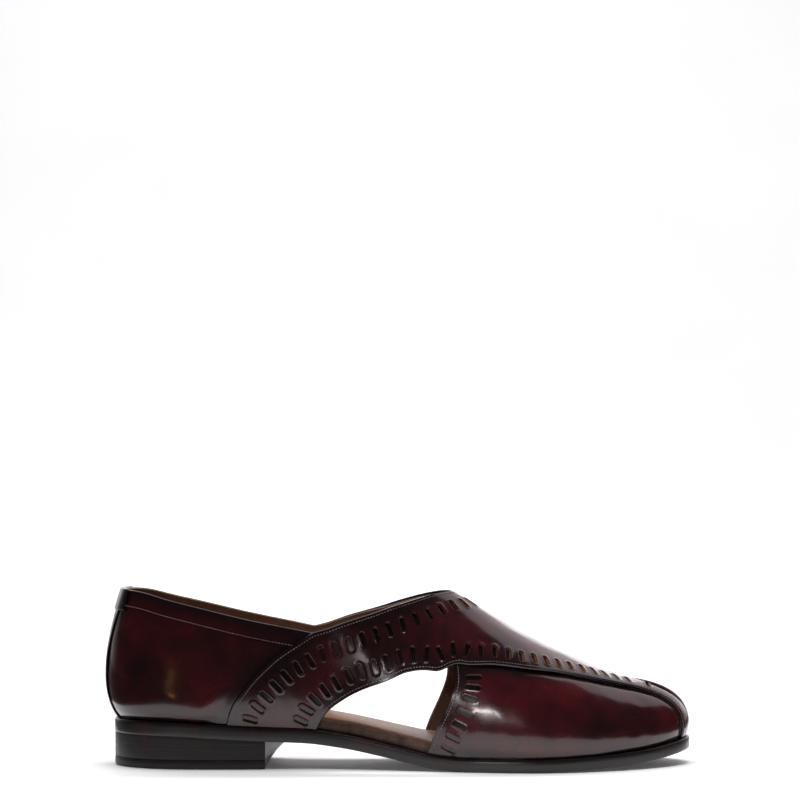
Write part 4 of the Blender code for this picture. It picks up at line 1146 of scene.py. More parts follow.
def joined(parts: list[tuple[Array, Array]]) -> Shell:
    """Several closed meshes as one shell."""
    offsets = np.cumsum([0] + [len(points) for points, _ in parts])[:-1]
    points = np.concatenate([points for points, _ in parts])
    faces = np.concatenate([faces + offset for (_, faces), offset in zip(parts, offsets)])
    return Shell(points, faces, {}, np.zeros(len(faces), int))


# Finishes


class Nodes:
    """Short way to build a material's nodes: every call adds one and returns it or its output."""

    def __init__(self, name: str) -> None:
        """Start a material with a Principled surface."""
        self.material = bpy.data.materials.new(name)
        self.material.use_nodes = True
        self.tree = self.material.node_tree
        self.shader = self.tree.nodes["Principled BSDF"]
        self.object = self.tree.nodes.new("ShaderNodeTexCoord").outputs["Object"]

    def link(self, source: object, target: object) -> None:
        """Join two sockets."""
        self.tree.links.new(source, target)

    def set(self, **values: object) -> None:
        """Set constants on the surface's own sockets, named with _ for a space."""
        for title, value in values.items():
            self.shader.inputs[title.replace("_", " ")].default_value = value

    def noise(self, scale: float, detail: float = 3.0, rough: float = 0.5, distort: float = 0.0,
              source: object = None) -> object:
        """Noise on the object's own coordinates, as its value's socket."""
        node = self.tree.nodes.new("ShaderNodeTexNoise")
        node.inputs["Scale"].default_value = scale
        node.inputs["Detail"].default_value = detail
        node.inputs["Roughness"].default_value = rough
        node.inputs["Distortion"].default_value = distort
        self.link(source or self.object, node.inputs["Vector"])
        return node.outputs[0]

    def cells(self, scale: float, feature: str = "F1") -> object:
        """Distance to the middles or edges of cells, on the object's own coordinates."""
        node = self.tree.nodes.new("ShaderNodeTexVoronoi")
        node.feature = feature
        node.inputs["Scale"].default_value = scale
        self.link(self.object, node.inputs["Vector"])
        return node.outputs["Distance"]

    def stretched(self, scale: tuple[float, float, float]) -> object:
        """Object coordinates stretched along the axes."""
        node = self.tree.nodes.new("ShaderNodeMapping")
        node.inputs["Scale"].default_value = scale
        self.link(self.object, node.inputs["Vector"])
        return node.outputs[0]

    def mix(self, share: object, first: object, second: object) -> object:
        """Mix of two colours, each a socket or a constant."""
        node = self.tree.nodes.new("ShaderNodeMix")
        node.data_type = "RGBA"
        for index, value in ((0, share), (6, first), (7, second)):
            if hasattr(value, "is_output"):
                self.link(value, node.inputs[index])
            else:
                node.inputs[index].default_value = value if index == 0 else (*value, 1)
        return node.outputs[2]

    def math(self, kind: str, first: object, second: object = 0.0, third: object = 0.0) -> object:
        """One sum of two or three numbers, each a socket or a constant."""
        node = self.tree.nodes.new("ShaderNodeMath")
        node.operation = kind
        for index, value in enumerate((first, second, third)):
            if hasattr(value, "is_output"):
                self.link(value, node.inputs[index])
            else:
                node.inputs[index].default_value = value
        return node.outputs[0]

    def span(self, source: object, low: float, high: float, first: float, last: float) -> object:
        """Number carried from one span to another and kept inside it."""
        node = self.tree.nodes.new("ShaderNodeMapRange")
        for index, value in enumerate((low, high, first, last)):
            node.inputs[index + 1].default_value = value
        self.link(source, node.inputs[0])
        return node.outputs[0]

    def attribute(self, name: str) -> object:
        """Number that the mesh stores for each point."""
        node = self.tree.nodes.new("ShaderNodeAttribute")
        node.attribute_name = name
        return node.outputs["Fac"]

    def height(self) -> object:
        """Height over the floor, in metres."""
        node = self.tree.nodes.new("ShaderNodeSeparateXYZ")
        self.link(self.object, node.inputs[0])
        return node.outputs[2]

    def bump(self, *layers: tuple[object, float, float]) -> None:
        """Bumps one over the other, each a height socket, its distance in metres and strength."""
        below = None
        for source, distance, strength in layers:
            node = self.tree.nodes.new("ShaderNodeBump")
            node.inputs["Distance"].default_value = distance
            node.inputs["Strength"].default_value = strength
            self.link(source, node.inputs["Height"])
            if below is not None:
                self.link(below, node.inputs["Normal"])
            below = node.outputs[0]
        self.link(below, self.shader.inputs["Normal"])


@dataclass(frozen=True)
class PatinaLeather:
    """Polished box leather, burnished almost black by hand round its edges; along the groove under the strap the
    same dark is painted shade.
    """

    name: str
    dark: tuple[float, float, float] = (0.0090, 0.0050, 0.0058)
    red: tuple[float, float, float] = (0.0600, 0.0060, 0.0085)
    blotch_scale: float = 26.0
    red_share: float = 1.0
    burnish_and_shade_width: float = 9.0

    def build(self) -> bpy.types.Material:
        """Make the material.

        Colour runs from dark to red by two sizes of blotches, and back to dark near the edges: burnish, and painted
        shade along the strap's groove.
        Bump has fine pores, and a soft unevenness of the leather's skin.
        """
        n = Nodes(self.name)
        large = n.noise(self.blotch_scale, 2.0, 0.5, 0.6)
        small = n.noise(self.blotch_scale * 4.5, 4.0, 0.6, 0.3)
        blotch = n.math("MULTIPLY_ADD", small, 0.35, n.math("MULTIPLY", large, 0.75))
        share = n.span(blotch, 0.40, 0.66, 0.12, 1.0)
        # Red fades near the edges: burnish, and on the toe panels painted shade of the strap's edge over the groove
        inward = n.span(n.attribute("edge"), 0.6, self.burnish_and_shade_width, 0.05, 1.0)
        share = n.math("MULTIPLY", n.math("MULTIPLY", share, inward), self.red_share)
        n.link(n.mix(share, self.dark, self.red), n.shader.inputs["Base Color"])
        fine = n.noise(900.0, 3.0, 0.6)
        n.link(n.span(n.math("MULTIPLY_ADD", large, 0.5, n.math("MULTIPLY", fine, 0.5)), 0.3, 0.7, 0.15, 0.27),
               n.shader.inputs["Roughness"])
        n.set(Coat_Weight=0.55, Coat_Roughness=0.11, Specular_IOR_Level=0.5)
        pores = n.span(n.cells(1500.0), 0.0, 0.45, 0.0, 1.0)
        skin = n.noise(190.0, 3.0, 0.55, 0.4)
        n.bump((skin, 0.00016, 0.35), (pores, 0.00003, 0.25), (fine, 0.00002, 0.3))
        return n.material


@dataclass(frozen=True)
class PlainLeather:
    """Leather of one tone with a grain, for linings, cut edges and the insole."""

    name: str
    light: tuple[float, float, float]
    shade: tuple[float, float, float]
    roughness: float = 0.55
    grain: float = 700.0
    depth: float = 0.00012
    blotch: float = 90.0

    def build(self) -> bpy.types.Material:
        """Make the material: two sizes of noise mix the tones, cells and noise raise the grain."""
        n = Nodes(self.name)
        tone = n.math("MULTIPLY_ADD", n.noise(self.blotch, 4.0, 0.6), 0.6,
                      n.math("MULTIPLY", n.noise(self.blotch * 9, 3.0, 0.6), 0.4))
        n.link(n.mix(n.span(tone, 0.36, 0.62, 0.0, 1.0), self.shade, self.light), n.shader.inputs["Base Color"])
        n.link(n.span(n.noise(self.grain, 2.0), 0.3, 0.7, self.roughness - 0.08, self.roughness + 0.1),
               n.shader.inputs["Roughness"])
        n.set(Specular_IOR_Level=0.4)
        n.bump((n.cells(self.grain, "DISTANCE_TO_EDGE"), self.depth, 0.6),
               (n.noise(self.grain * 2.2, 4.0, 0.65), self.depth * 0.6, 0.6))
        return n.material


@dataclass(frozen=True)
class WaxedEdge:
    """Sole or heel edge: black brown, inked and waxed, with fine lines along it."""

    name: str
    dark: tuple[float, float, float] = (0.0065, 0.0050, 0.0050)
    light: tuple[float, float, float] = (0.0150, 0.0100, 0.0100)
    red: tuple[float, float, float] = (0.0360, 0.0090, 0.0085)
    lift: float = 0.0
    roughness: float = 0.36
    polish: float = 0.1

    def build(self) -> bpy.types.Material:
        """Make the material. Lines run level: noise is stretched along X and Y. With a lift, the
        height over the floor draws the joints between the heel's layers."""
        n = Nodes(self.name)
        streak = n.noise(1.0, 4.0, 0.6, 0.0, n.stretched((45.0, 45.0, 1300.0)))
        worn = n.noise(70.0, 3.0, 0.6)
        tone = n.mix(n.span(streak, 0.35, 0.68, 0.0, 1.0), self.dark, self.light)
        tone = n.mix(n.span(worn, 0.57, 0.72, 0.0, 0.75), tone, self.red)
        rough = n.span(n.math("ADD", n.math("MULTIPLY", streak, 0.5), n.math("MULTIPLY", worn, 0.5)),
                       0.35, 0.65, self.roughness - 0.08, self.roughness + 0.1)
        layers = [(streak, 0.00012, 0.45), (n.noise(900.0, 3.0, 0.6), 0.00006, 0.5)]
        if self.lift:
            wave = n.math("PINGPONG", n.height(), 0.5 * self.lift)
            joint = n.span(wave, 0.0, 0.00022, 0.0, 1.0)
            tone = n.mix(joint, n.mix(0.35, tone, (0.0, 0.0, 0.0)), tone)
            layers.append((joint, 0.00010, 0.35))
        n.link(tone, n.shader.inputs["Base Color"])
        n.link(rough, n.shader.inputs["Roughness"])
        n.set(Coat_Weight=self.polish, Coat_Roughness=0.18, Specular_IOR_Level=0.35)
        n.bump(*layers)
        return n.material


@dataclass(frozen=True)
class WaxedThread:
    """Twisted, waxed thread."""

    name: str
    light: tuple[float, float, float]
    dark: tuple[float, float, float]

    def build(self) -> bpy.types.Material:
        """Make the material: fine noise for the twist."""
        n = Nodes(self.name)
        twist = n.noise(2500.0, 2.0)
        n.link(n.mix(n.span(twist, 0.4, 0.6, 0.0, 1.0), self.dark, self.light), n.shader.inputs["Base Color"])
        n.set(Roughness=0.42, Specular_IOR_Level=0.5)
        n.bump((twist, 0.00008, 0.8))
        return n.material


@dataclass(frozen=True)
class PaleFloor:
    """Plain pale backdrop."""

    name: str = "backdrop_paper"
    tone: tuple[float, float, float] = (0.93, 0.925, 0.935)
    glow: float = 0.0

    def build(self) -> bpy.types.Material:
        """Make the material: matt, with a slight mottle."""
        n = Nodes(self.name)
        shade = tuple(0.95 * part for part in self.tone)
        n.link(n.mix(n.span(n.noise(3.0), 0.3, 0.7, 0.0, 1.0), self.tone, shade), n.shader.inputs["Base Color"])
        n.set(Roughness=0.6, Specular_IOR_Level=0.2, Emission_Color=(*self.tone, 1), Emission_Strength=self.glow)
        return n.material


class Palette:
    """Every material of the shoe, made once."""

    def __init__(self) -> None:
        """Build the materials."""
        self.quarter = PatinaLeather("quarter_patina", burnish_and_shade_width=11.0).build()
        self.strap = PatinaLeather("strap_patina", burnish_and_shade_width=10.0, red_share=0.85).build()
        self.panel = PatinaLeather("panel_patina", burnish_and_shade_width=8.0, red_share=1.15).build()
        # Near-black backing seen through the slots: its tone is painted shade of the slots' depth
        self.dark = PatinaLeather("slot_shade_backing", dark=(0.006, 0.004, 0.004), red=(0.012, 0.004, 0.004)).build()
        self.cut_edge = PlainLeather("cut_edge", (0.38, 0.155, 0.045), (0.10, 0.030, 0.012), 0.5, 1500.0).build()
        self.lining = PlainLeather("tan_lining", (0.235, 0.130, 0.082), (0.150, 0.078, 0.048), 0.5, 900.0,
                                   0.00006, 40.0).build()
        self.sock = PlainLeather("sock_leather", (0.27, 0.150, 0.095), (0.175, 0.092, 0.058), 0.45, 900.0,
                                 0.00006, 30.0).build()
        self.insole = PlainLeather("insole_wrap", (0.155, 0.085, 0.062), (0.050, 0.026, 0.020), 0.45, 1100.0,
                                   0.00022, 160.0).build()
        self.sole = WaxedEdge("sole_edge", polish=0.5).build()
        self.heel = WaxedEdge("heel_edge", lift=0.0038, roughness=0.42).build()
        self.rubber = WaxedEdge("top_piece_edge", (0.010, 0.009, 0.009), (0.020, 0.016, 0.016),
                                (0.045, 0.012, 0.012), 0.0, 0.5).build()
        self.thread = WaxedThread("oxblood_thread", (0.36, 0.23, 0.22), (0.13, 0.07, 0.07)).build()


# Sub-assemblies


@dataclass
class Strap:
    """Toe strip, vamp and crossing straps, with slots, backing, lining and stitches."""

    last: Last
    layout: StrapLayout
    slots: SlotStyle = field(default_factory=SlotStyle)
    leather: SheetStyle = field(default_factory=lambda: SheetStyle(0.00030, 0.00175, 0.00045))
    backing: SheetStyle = field(default_factory=lambda: SheetStyle(-0.00080, 0.00005, 0.0002))
    lining: SheetStyle = field(default_factory=lambda: SheetStyle(-0.00180, -0.00090, 0.0002))
    thread: ThreadStyle = field(default_factory=ThreadStyle)
    columns: int = 330
    rows: int = 42
    toe_slot: float = 0.858
    corner_gap: tuple[float, float] = (0.9, 1.01)
    slot_ceiling: float = 0.992
    slot_end: float = 3.985
    stitch_inset: float = 0.00150
    lower_stitch_inset: float = 0.00125

    def columns_of(self, count: int) -> Array:
        """Places of the columns, with the four corners among them."""
        steps = np.maximum((np.array([0.23, 0.29, 0.26, 0.22]) * count).astype(int), 2)
        parts = [np.linspace(k, k + 1, steps[k], endpoint=False) for k in range(4)]
        return np.concatenate(parts + [[4.0]])

    def build(self, palette: Palette) -> None:
        """Add the strap's pieces."""
        mapping = self.layout.shares
        last = self.last
        rings, clear = [], []
        before, after = self.corner_gap
        rows = [row for row in self.layout.slot_rows(self.slots) if row[0] > after or row[0] < before]
        for place, across, way in rows:
            place = self.toe_slot if place < before else place
            ring, hull = slot_rings(last, mapping, np.array([place, across]), way, self.slots)
            over = ring[..., 1].max() - self.slot_ceiling
            if over > 0 and place < 2.0:
                ring, hull = ring - [0, over], hull - [0, over]
            past = max(ring[..., 0].max() - self.slot_end, 0)
            ring, hull = ring - [past, 0], hull - [past, 0]
            rings.append(ring)
            clear.append(hull)
        domain = slotted_domain(self.columns_of(self.columns), np.linspace(0, 1, self.rows + 1), rings,
                                self.slots, clear, (0.062, 0.034))
        to_lower, to_upper = self.layout.gaps(domain.points[:, 0], domain.points[:, 1])
        edge = np.minimum(to_lower, to_upper) / MM + 7 * (1 - smoothstep(0.0, 1.1, domain.points[:, 0]))

        def swell(place: Array, across: Array, points: Array) -> Array:
            """Soft unevenness of the pulled leather, still at the edges."""
            return 0.00012 * ripple(points, 0.030, 5) + 0.00005 * ripple(points, 0.011, 6)

        shell = build_sheet(last, domain, mapping, self.leather, numbers={"edge": edge}, swell=swell)
        piece = add_piece("vamp_strap_leather", shell, [palette.strap, palette.cut_edge])
        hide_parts("vamp_strap")
        plain = plain_domain(self.columns_of(140), np.linspace(0.03, 1, 15))
        # Backing held at the dark end of the patina: painted shade inside the slots
        edge = np.full(len(plain.points), 2.0)
        shell = build_sheet(last, plain, mapping, self.backing, numbers={"edge": edge})
        add_piece("strap_backing", shell, [palette.dark])
        shell = build_sheet(last, plain, mapping, self.lining)
        add_piece("strap_lining", shell, [palette.lining])
        self.stitch(palette)

    def stitch(self, palette: Palette) -> None:
        """Add the stitches along both edges."""
        parts = []
        for inset, from_upper, start in ((self.stitch_inset, True, 2.02), (self.lower_stitch_inset, False, 0.12)):
            place, across = self.layout.line_at(inset, from_upper, start, 3.99, 700)
            s, up = self.layout.shares(place, across)
            for side in SIDES:
                normal = self.last.normal(s, up, side)
                line = self.last.surface(s, up, side) + self.leather.high * normal
                parts.append(stitch_row(line, normal, self.thread))
        add_piece("strap_stitches", joined(parts), [palette.thread])


@dataclass
class ToePanels:
    """Panels at both sides of the toe, tucked under the strap, each with a short row of slots."""

    last: Last
    layout: StrapLayout
    slots: SlotStyle = field(default_factory=lambda: SlotStyle(
        length=0.0084, width=0.0027, lip_width=0.0008, lip_height=0.00006, edge_drop=0.00010))
    leather: SheetStyle = field(default_factory=lambda: SheetStyle(-0.00085, 0.00010, 0.00040))
    backing: SheetStyle = field(default_factory=lambda: SheetStyle(-0.00122, -0.00088, 0.0001))
    lining: SheetStyle = field(default_factory=lambda: SheetStyle(-0.00190, -0.00125, 0.0002))
    thread: ThreadStyle = field(default_factory=ThreadStyle)
    slot_inset: float = 0.0092
    slot_shares: tuple[float, ...] = (0.065, 0.205, 0.365, 0.530, 0.695, 0.825, 0.940)
    stitch_inset: float = 0.0016
    groove_depth: float = 0.0007
    groove_width: float = 0.0055

    def __post_init__(self) -> None:
        """Work out the four edges of a panel in shares of the last."""
        last = self.last
        ramp = np.linspace(0, 1, 161)
        edge = last.smooth_path(
            np.concatenate([last.on_feather(PANEL_FOOT), last.seen_from_side(PANEL_REAR_EDGE)]), 161)
        rear_x = last.surface(edge[:, 0], edge[:, 1], Side.OUTER)[:, 0]
        place = np.linspace(0.0, 2.4, 400)
        s, up = self.layout.shares(place, 0.22)
        under = last.surface(s, up, Side.OUTER)
        join = np.argmax(under[:, 0] < rear_x[-1])
        start = place[join]
        rear_top = np.array([[s[join], up[join]]])
        self.rear = np.concatenate([edge, rear_top])
        run = np.linspace(0, 1, len(self.rear))
        self.rear = np.stack([np.interp(ramp, run, self.rear[:, k]) for k in (0, 1)], -1)
        s_top, up_top = self.layout.shares(start * (1 - ramp), 0.22)
        self.top = np.column_stack([s_top, up_top])
        self.bottom = np.column_stack([edge[0, 0] + (self.top[-1, 0] - edge[0, 0]) * ramp, np.zeros(161)])
        self.ramp = ramp

    def mapping(self, a: Array, b: Array) -> tuple[Array, Array]:
        """Shares of the last for a along the panel and b up it.

        A Coons patch: the mean between bottom and top, plus the rear edge's own departure from a
        straight line, which fades towards the toe.

        Args:
            a: 0 at the rear edge and 1 at the toe.
            b: 0 at the sole and 1 under the strap.

        Returns:
            Shares (s, up).
        """
        found = []
        for k in (0, 1):
            bottom = np.interp(a, self.ramp, self.bottom[:, k])
            top = np.interp(a, self.ramp, self.top[:, k])
            rear = np.interp(b, self.ramp, self.rear[:, k])
            straight = self.rear[0, k] * (1 - b) + self.rear[-1, k] * b
            found.append((1 - b) * bottom + b * top + (rear - straight) * (1 - a) ** 3)
        return found[0], np.clip(found[1], 0, 1)

    def rear_gap(self, a: Array, b: Array) -> Array:
        """Distance of points of the panel to its rear edge."""
        s, up = self.mapping(a, b)
        line = self.last.surface(self.rear[:, 0], self.rear[:, 1], Side.OUTER)
        return distance_to_line(self.last.surface(s, up, Side.OUTER), line)

    def line_at(self, inset: float, low: float, high: float) -> Array:
        """Points (a, b) at a distance from the rear edge, between two shares of its height."""
        b = np.linspace(low, high, 200)
        a = np.linspace(0, 0.25, 81)
        gaps = self.rear_gap(a[None, :], b[:, None])
        return np.column_stack([share_at_distance(gaps, a, np.full(len(b), inset)), b])

    def build(self, palette: Palette) -> None:
        """Add the panels' pieces."""
        last = self.last
        line = self.line_at(self.slot_inset, 0.03, 0.83)
        s, up = self.mapping(line[:, 0], line[:, 1])
        run = run_lengths(last.surface(s, up, Side.OUTER))
        spots = np.array(self.slot_shares) * run[-1]
        rings, clear = [], []
        for spot in spots:
            at = np.array([np.interp(spot, run, line[:, k]) for k in (0, 1)])
            ahead = np.array([np.interp(spot + MM, run, line[:, k]) for k in (0, 1)])
            ring, hull = slot_rings(last, self.mapping, at, ahead - at, self.slots)
            rings.append(ring)
            clear.append(hull)
        columns = np.concatenate([np.linspace(0, 0.3, 60, endpoint=False), np.linspace(0.3, 1, 110)])
        domain = slotted_domain(columns, np.linspace(0, 1, 41), rings, self.slots, clear, (0.095, 0.048))
        s, up = self.mapping(domain.points[:, 0], domain.points[:, 1])
        points = last.surface(s, up, Side.OUTER)
        to_strap = distance_to_line(points, self.layout.free_lower[Side.OUTER])
        rear = self.rear_gap(domain.points[:, 0], domain.points[:, 1])
        sole = points[:, 2] - last.sizes.sole_top(points[:, 0])
        # Painted shade: the patina darkens in a band along the strap's lower edge, over the groove, narrowing
        # toward the toe as the groove does
        groove_shade_gap = to_strap * (1 + 2.5 * smoothstep(0.35, 0.95, domain.points[:, 0]))
        edge = np.minimum(np.minimum(groove_shade_gap, rear), sole * 1.5) / MM
        wide = self.groove_width * (1 - 0.65 * smoothstep(0.35, 0.95, domain.points[:, 0]))
        groove = -self.groove_depth * (1 - smoothstep(0.0, 1.0, to_strap / wide))
        domain.lift = domain.lift + groove

        def swell(a: Array, b: Array, at: Array) -> Array:
            """Soft unevenness of the pulled leather."""
            return 0.00018 * ripple(at, 0.034, 11) + 0.00006 * ripple(at, 0.013, 12)

        shell = build_sheet(last, domain, self.mapping, self.leather, numbers={"edge": edge}, swell=swell)
        piece = add_piece("toe_panels", shell, [palette.panel, palette.cut_edge])
        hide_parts("upper")
        plain = plain_domain(np.linspace(0.008, 1, 61), np.linspace(0, 1, 17))
        # Backing held at the dark end of the patina: painted shade inside the slots
        shell = build_sheet(last, plain, self.mapping, self.backing,
                            numbers={"edge": np.full(len(plain.points), 2.0)})
        add_piece("toe_panel_backing", shell, [palette.dark])
        shell = build_sheet(last, plain_domain(np.linspace(0, 1, 61), np.linspace(0, 1, 17)), self.mapping,
                            self.lining)
        add_piece("toe_panel_lining", shell, [palette.lining])
        line = self.line_at(self.stitch_inset, 0.02, 0.97)
        s, up = self.mapping(line[:, 0], line[:, 1])
        parts = []
        for side in SIDES:
            normal = last.normal(s, up, side)
            parts.append(stitch_row(last.surface(s, up, side) + self.leather.high * normal, normal, self.thread))
        add_piece("toe_panel_stitches", joined(parts), [palette.thread])


@dataclass
class Quarters:
    """Both quarters round the heel as one sheet, with lining, collar stitches and back strip."""

    last: Last
    layout: StrapLayout
    leather: SheetStyle = field(default_factory=lambda: SheetStyle(-0.00090, 0.00005, 0.00035))
    lining: SheetStyle = field(default_factory=lambda: SheetStyle(-0.00180, -0.00095, 0.00025))
    strip: SheetStyle = field(default_factory=lambda: SheetStyle(0.00010, 0.00100, 0.00030))
    tab: SheetStyle = field(default_factory=lambda: SheetStyle(0.00110, 0.00175, 0.00030))
    thread: ThreadStyle = field(default_factory=ThreadStyle)
    collar_stitch_inset: float = 0.0082
    fullness: float = 0.0018
    full_height: float = 0.0042
    fade_height: float = 0.026
    flank: float = 0.030
    strap_fade: tuple[float, float] = (0.16, 0.12)
    tab_height: float = 0.0090
    tab_half_width: float = 0.0150
    strip_widths: tuple[float, ...] = (0.0095, 0.0070, 0.0066, 0.0080, 0.0100, 0.0110)
    strip_levels: tuple[float, ...] = (0.0, 0.25, 0.50, 0.75, 0.90, 1.0)

    def __post_init__(self) -> None:
        """Work out where the quarters end under the strap."""
        s, up = self.layout.shares(np.linspace(4, 3, 120), 0.55)
        rest = up.max() + (1 - up.max()) * np.array([0.5, 1.0])
        end = s[np.argmax(up)] + (self.last.notch + 0.012 - s[np.argmax(up)]) * np.array([0.5, 1.0])
        self.front = (np.concatenate([up, rest]), np.concatenate([s, end]))

    def mapping(self, a: Array, b: Array) -> tuple[Array, Array]:
        """Shares of the last: a runs from the back seam to the strap, b up the wall."""
        return a * np.interp(b, *self.front), b

    def collar(self, side: Side) -> Array:
        """Points of the collar's edge."""
        return self.last.surface(np.linspace(0, self.last.notch + 0.012, 400), 1.0, side)

    def build(self, palette: Palette) -> None:
        """Add the quarters' pieces."""
        last = self.last
        domain = plain_domain(np.linspace(0, 1, 131), np.linspace(0, 1, 61))
        s, up = self.mapping(domain.points[:, 0], domain.points[:, 1])
        points = last.surface(s, up, Side.OUTER)
        to_collar = distance_to_line(points, self.collar(Side.OUTER))
        rear_edge = self.layout.free_upper[Side.OUTER]
        to_strap = distance_to_line(points, rear_edge[len(rear_edge) // 2:])
        sole = points[:, 2] - last.sizes.sole_top(points[:, 0])
        back = distance_to_line(points, last.surface(0.0, np.linspace(0, 1, 100), Side.OUTER))
        edge = np.minimum.reduce([to_collar * 1.6, to_strap * 1.1, sole * 1.2, back * 0.8]) / MM
        rear_s, rear_up = self.layout.shares(np.linspace(4, 3, 120), 1.0)
        band = 0.00022 * (1 - smoothstep(self.collar_stitch_inset - 0.4 * MM, self.collar_stitch_inset + 0.4 * MM,
                                         to_collar))
        domain.lift = band

        def swell(a: Array, b: Array, at: Array) -> Array:
            """Soft unevenness of the pulled leather, and a fuller wall just over the sole, which
            rises fast from the sole and fades upward and toward the strap, at the sides alone."""
            over = at[:, 2] - last.sizes.sole_top(at[:, 0])
            full = smoothstep(0.0, self.full_height, over) * (
                1 - smoothstep(self.full_height, self.fade_height, over))
            sideways = np.clip(np.abs(at[:, 1]) / self.flank, 0, 1) ** 2
            covered = np.interp(b, rear_up, rear_s) / np.interp(b, *self.front)
            ahead, spread = self.strap_fade
            bare = 1 - smoothstep(0.0, 1.0, (a - covered + ahead) / spread)
            return (0.00020 * ripple(at, 0.036, 21) + 0.00007 * ripple(at, 0.014, 22)
                    + self.fullness * full * sideways * bare)

        shell = build_sheet(last, domain, self.mapping, self.leather, numbers={"edge": edge}, swell=swell)
        add_piece("quarters", shell, [palette.quarter])
        shell = build_sheet(last, plain_domain(np.linspace(0, 1, 71), np.linspace(0, 1, 21)), self.mapping,
                            self.lining)
        add_piece("quarter_lining", shell, [palette.lining])
        self.stitch(palette)
        self.back_strip(palette)

    def stitch(self, palette: Palette) -> None:
        """Add the row of stitches below the collar."""
        last, parts = self.last, []
        b = np.linspace(0.5, 1, 81)
        a = np.linspace(0.10, 1, 260)
        s, up = self.mapping(a[:, None], b[None, :])
        for side in SIDES:
            gaps = distance_to_line(last.surface(s, up, side), self.collar(side))
            down = share_at_distance(gaps[:, ::-1], 1 - b[::-1], np.full(len(a), self.collar_stitch_inset))
            s_line, up_line = self.mapping(a, 1 - down)
            keep = np.isfinite(up_line)
            normal = last.normal(s_line[keep], up_line[keep], side)
            line = last.surface(s_line[keep], up_line[keep], side) + (self.leather.high + 0.0001) * normal
            parts.append(stitch_row(line, normal, self.thread))
        add_piece("collar_stitches", joined(parts), [palette.thread])

    def back_strip(self, palette: Palette) -> None:
        """Add the strip on the back seam and its tab, which reaches up to the collar."""
        last = self.last
        fine = np.linspace(0, 0.3, 200)

        def share_round(distance: float, level: float) -> float:
            """Share of the feather line at a distance round the heel."""
            return float(np.interp(distance, run_lengths(last.surface(fine, level, Side.OUTER)), fine))

        width = steady(self.strip_levels, self.strip_widths)
        levels = np.linspace(0, 1, 61)
        reach = np.array([share_round(float(width(level)), level) for level in levels])

        def strip(a: Array, b: Array) -> tuple[Array, Array]:
            """Shares of the last for a across the strip and b up it."""
            return a * np.interp(b, levels, reach), b

        domain = plain_domain(np.linspace(0, 1, 13), np.linspace(0, 1, 61))
        edge = (1 - domain.points[:, 0]) * 7.0
        shell = build_sheet(last, domain, strip, self.strip, numbers={"edge": edge})
        piece = add_piece("back_strip_leather", shell, [palette.strap])
        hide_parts("back_strip")
        wall = last.surface(0.0, np.array([0.0, 1.0]), Side.OUTER)
        low = 1 - self.tab_height / float(np.linalg.norm(wall[1] - wall[0]))
        round_top = share_round(self.tab_half_width, 0.95)

        def tab(a: Array, b: Array) -> tuple[Array, Array]:
            """Shares of the last for the tab."""
            return a * round_top, low + (1 - low) * b

        domain = plain_domain(np.linspace(0, 1, 25), np.linspace(0, 1, 15))
        edge = np.minimum((1 - domain.points[:, 0]) * 12.0, domain.points[:, 1] * 8.0 + 0.5)
        shell = build_sheet(last, domain, tab, self.tab, numbers={"edge": edge})
        add_piece("back_tab", shell, [palette.quarter])


def lifted(plan: Array, height: Array) -> Array:
    """Plan points with their height."""
    return np.column_stack([plan, height])


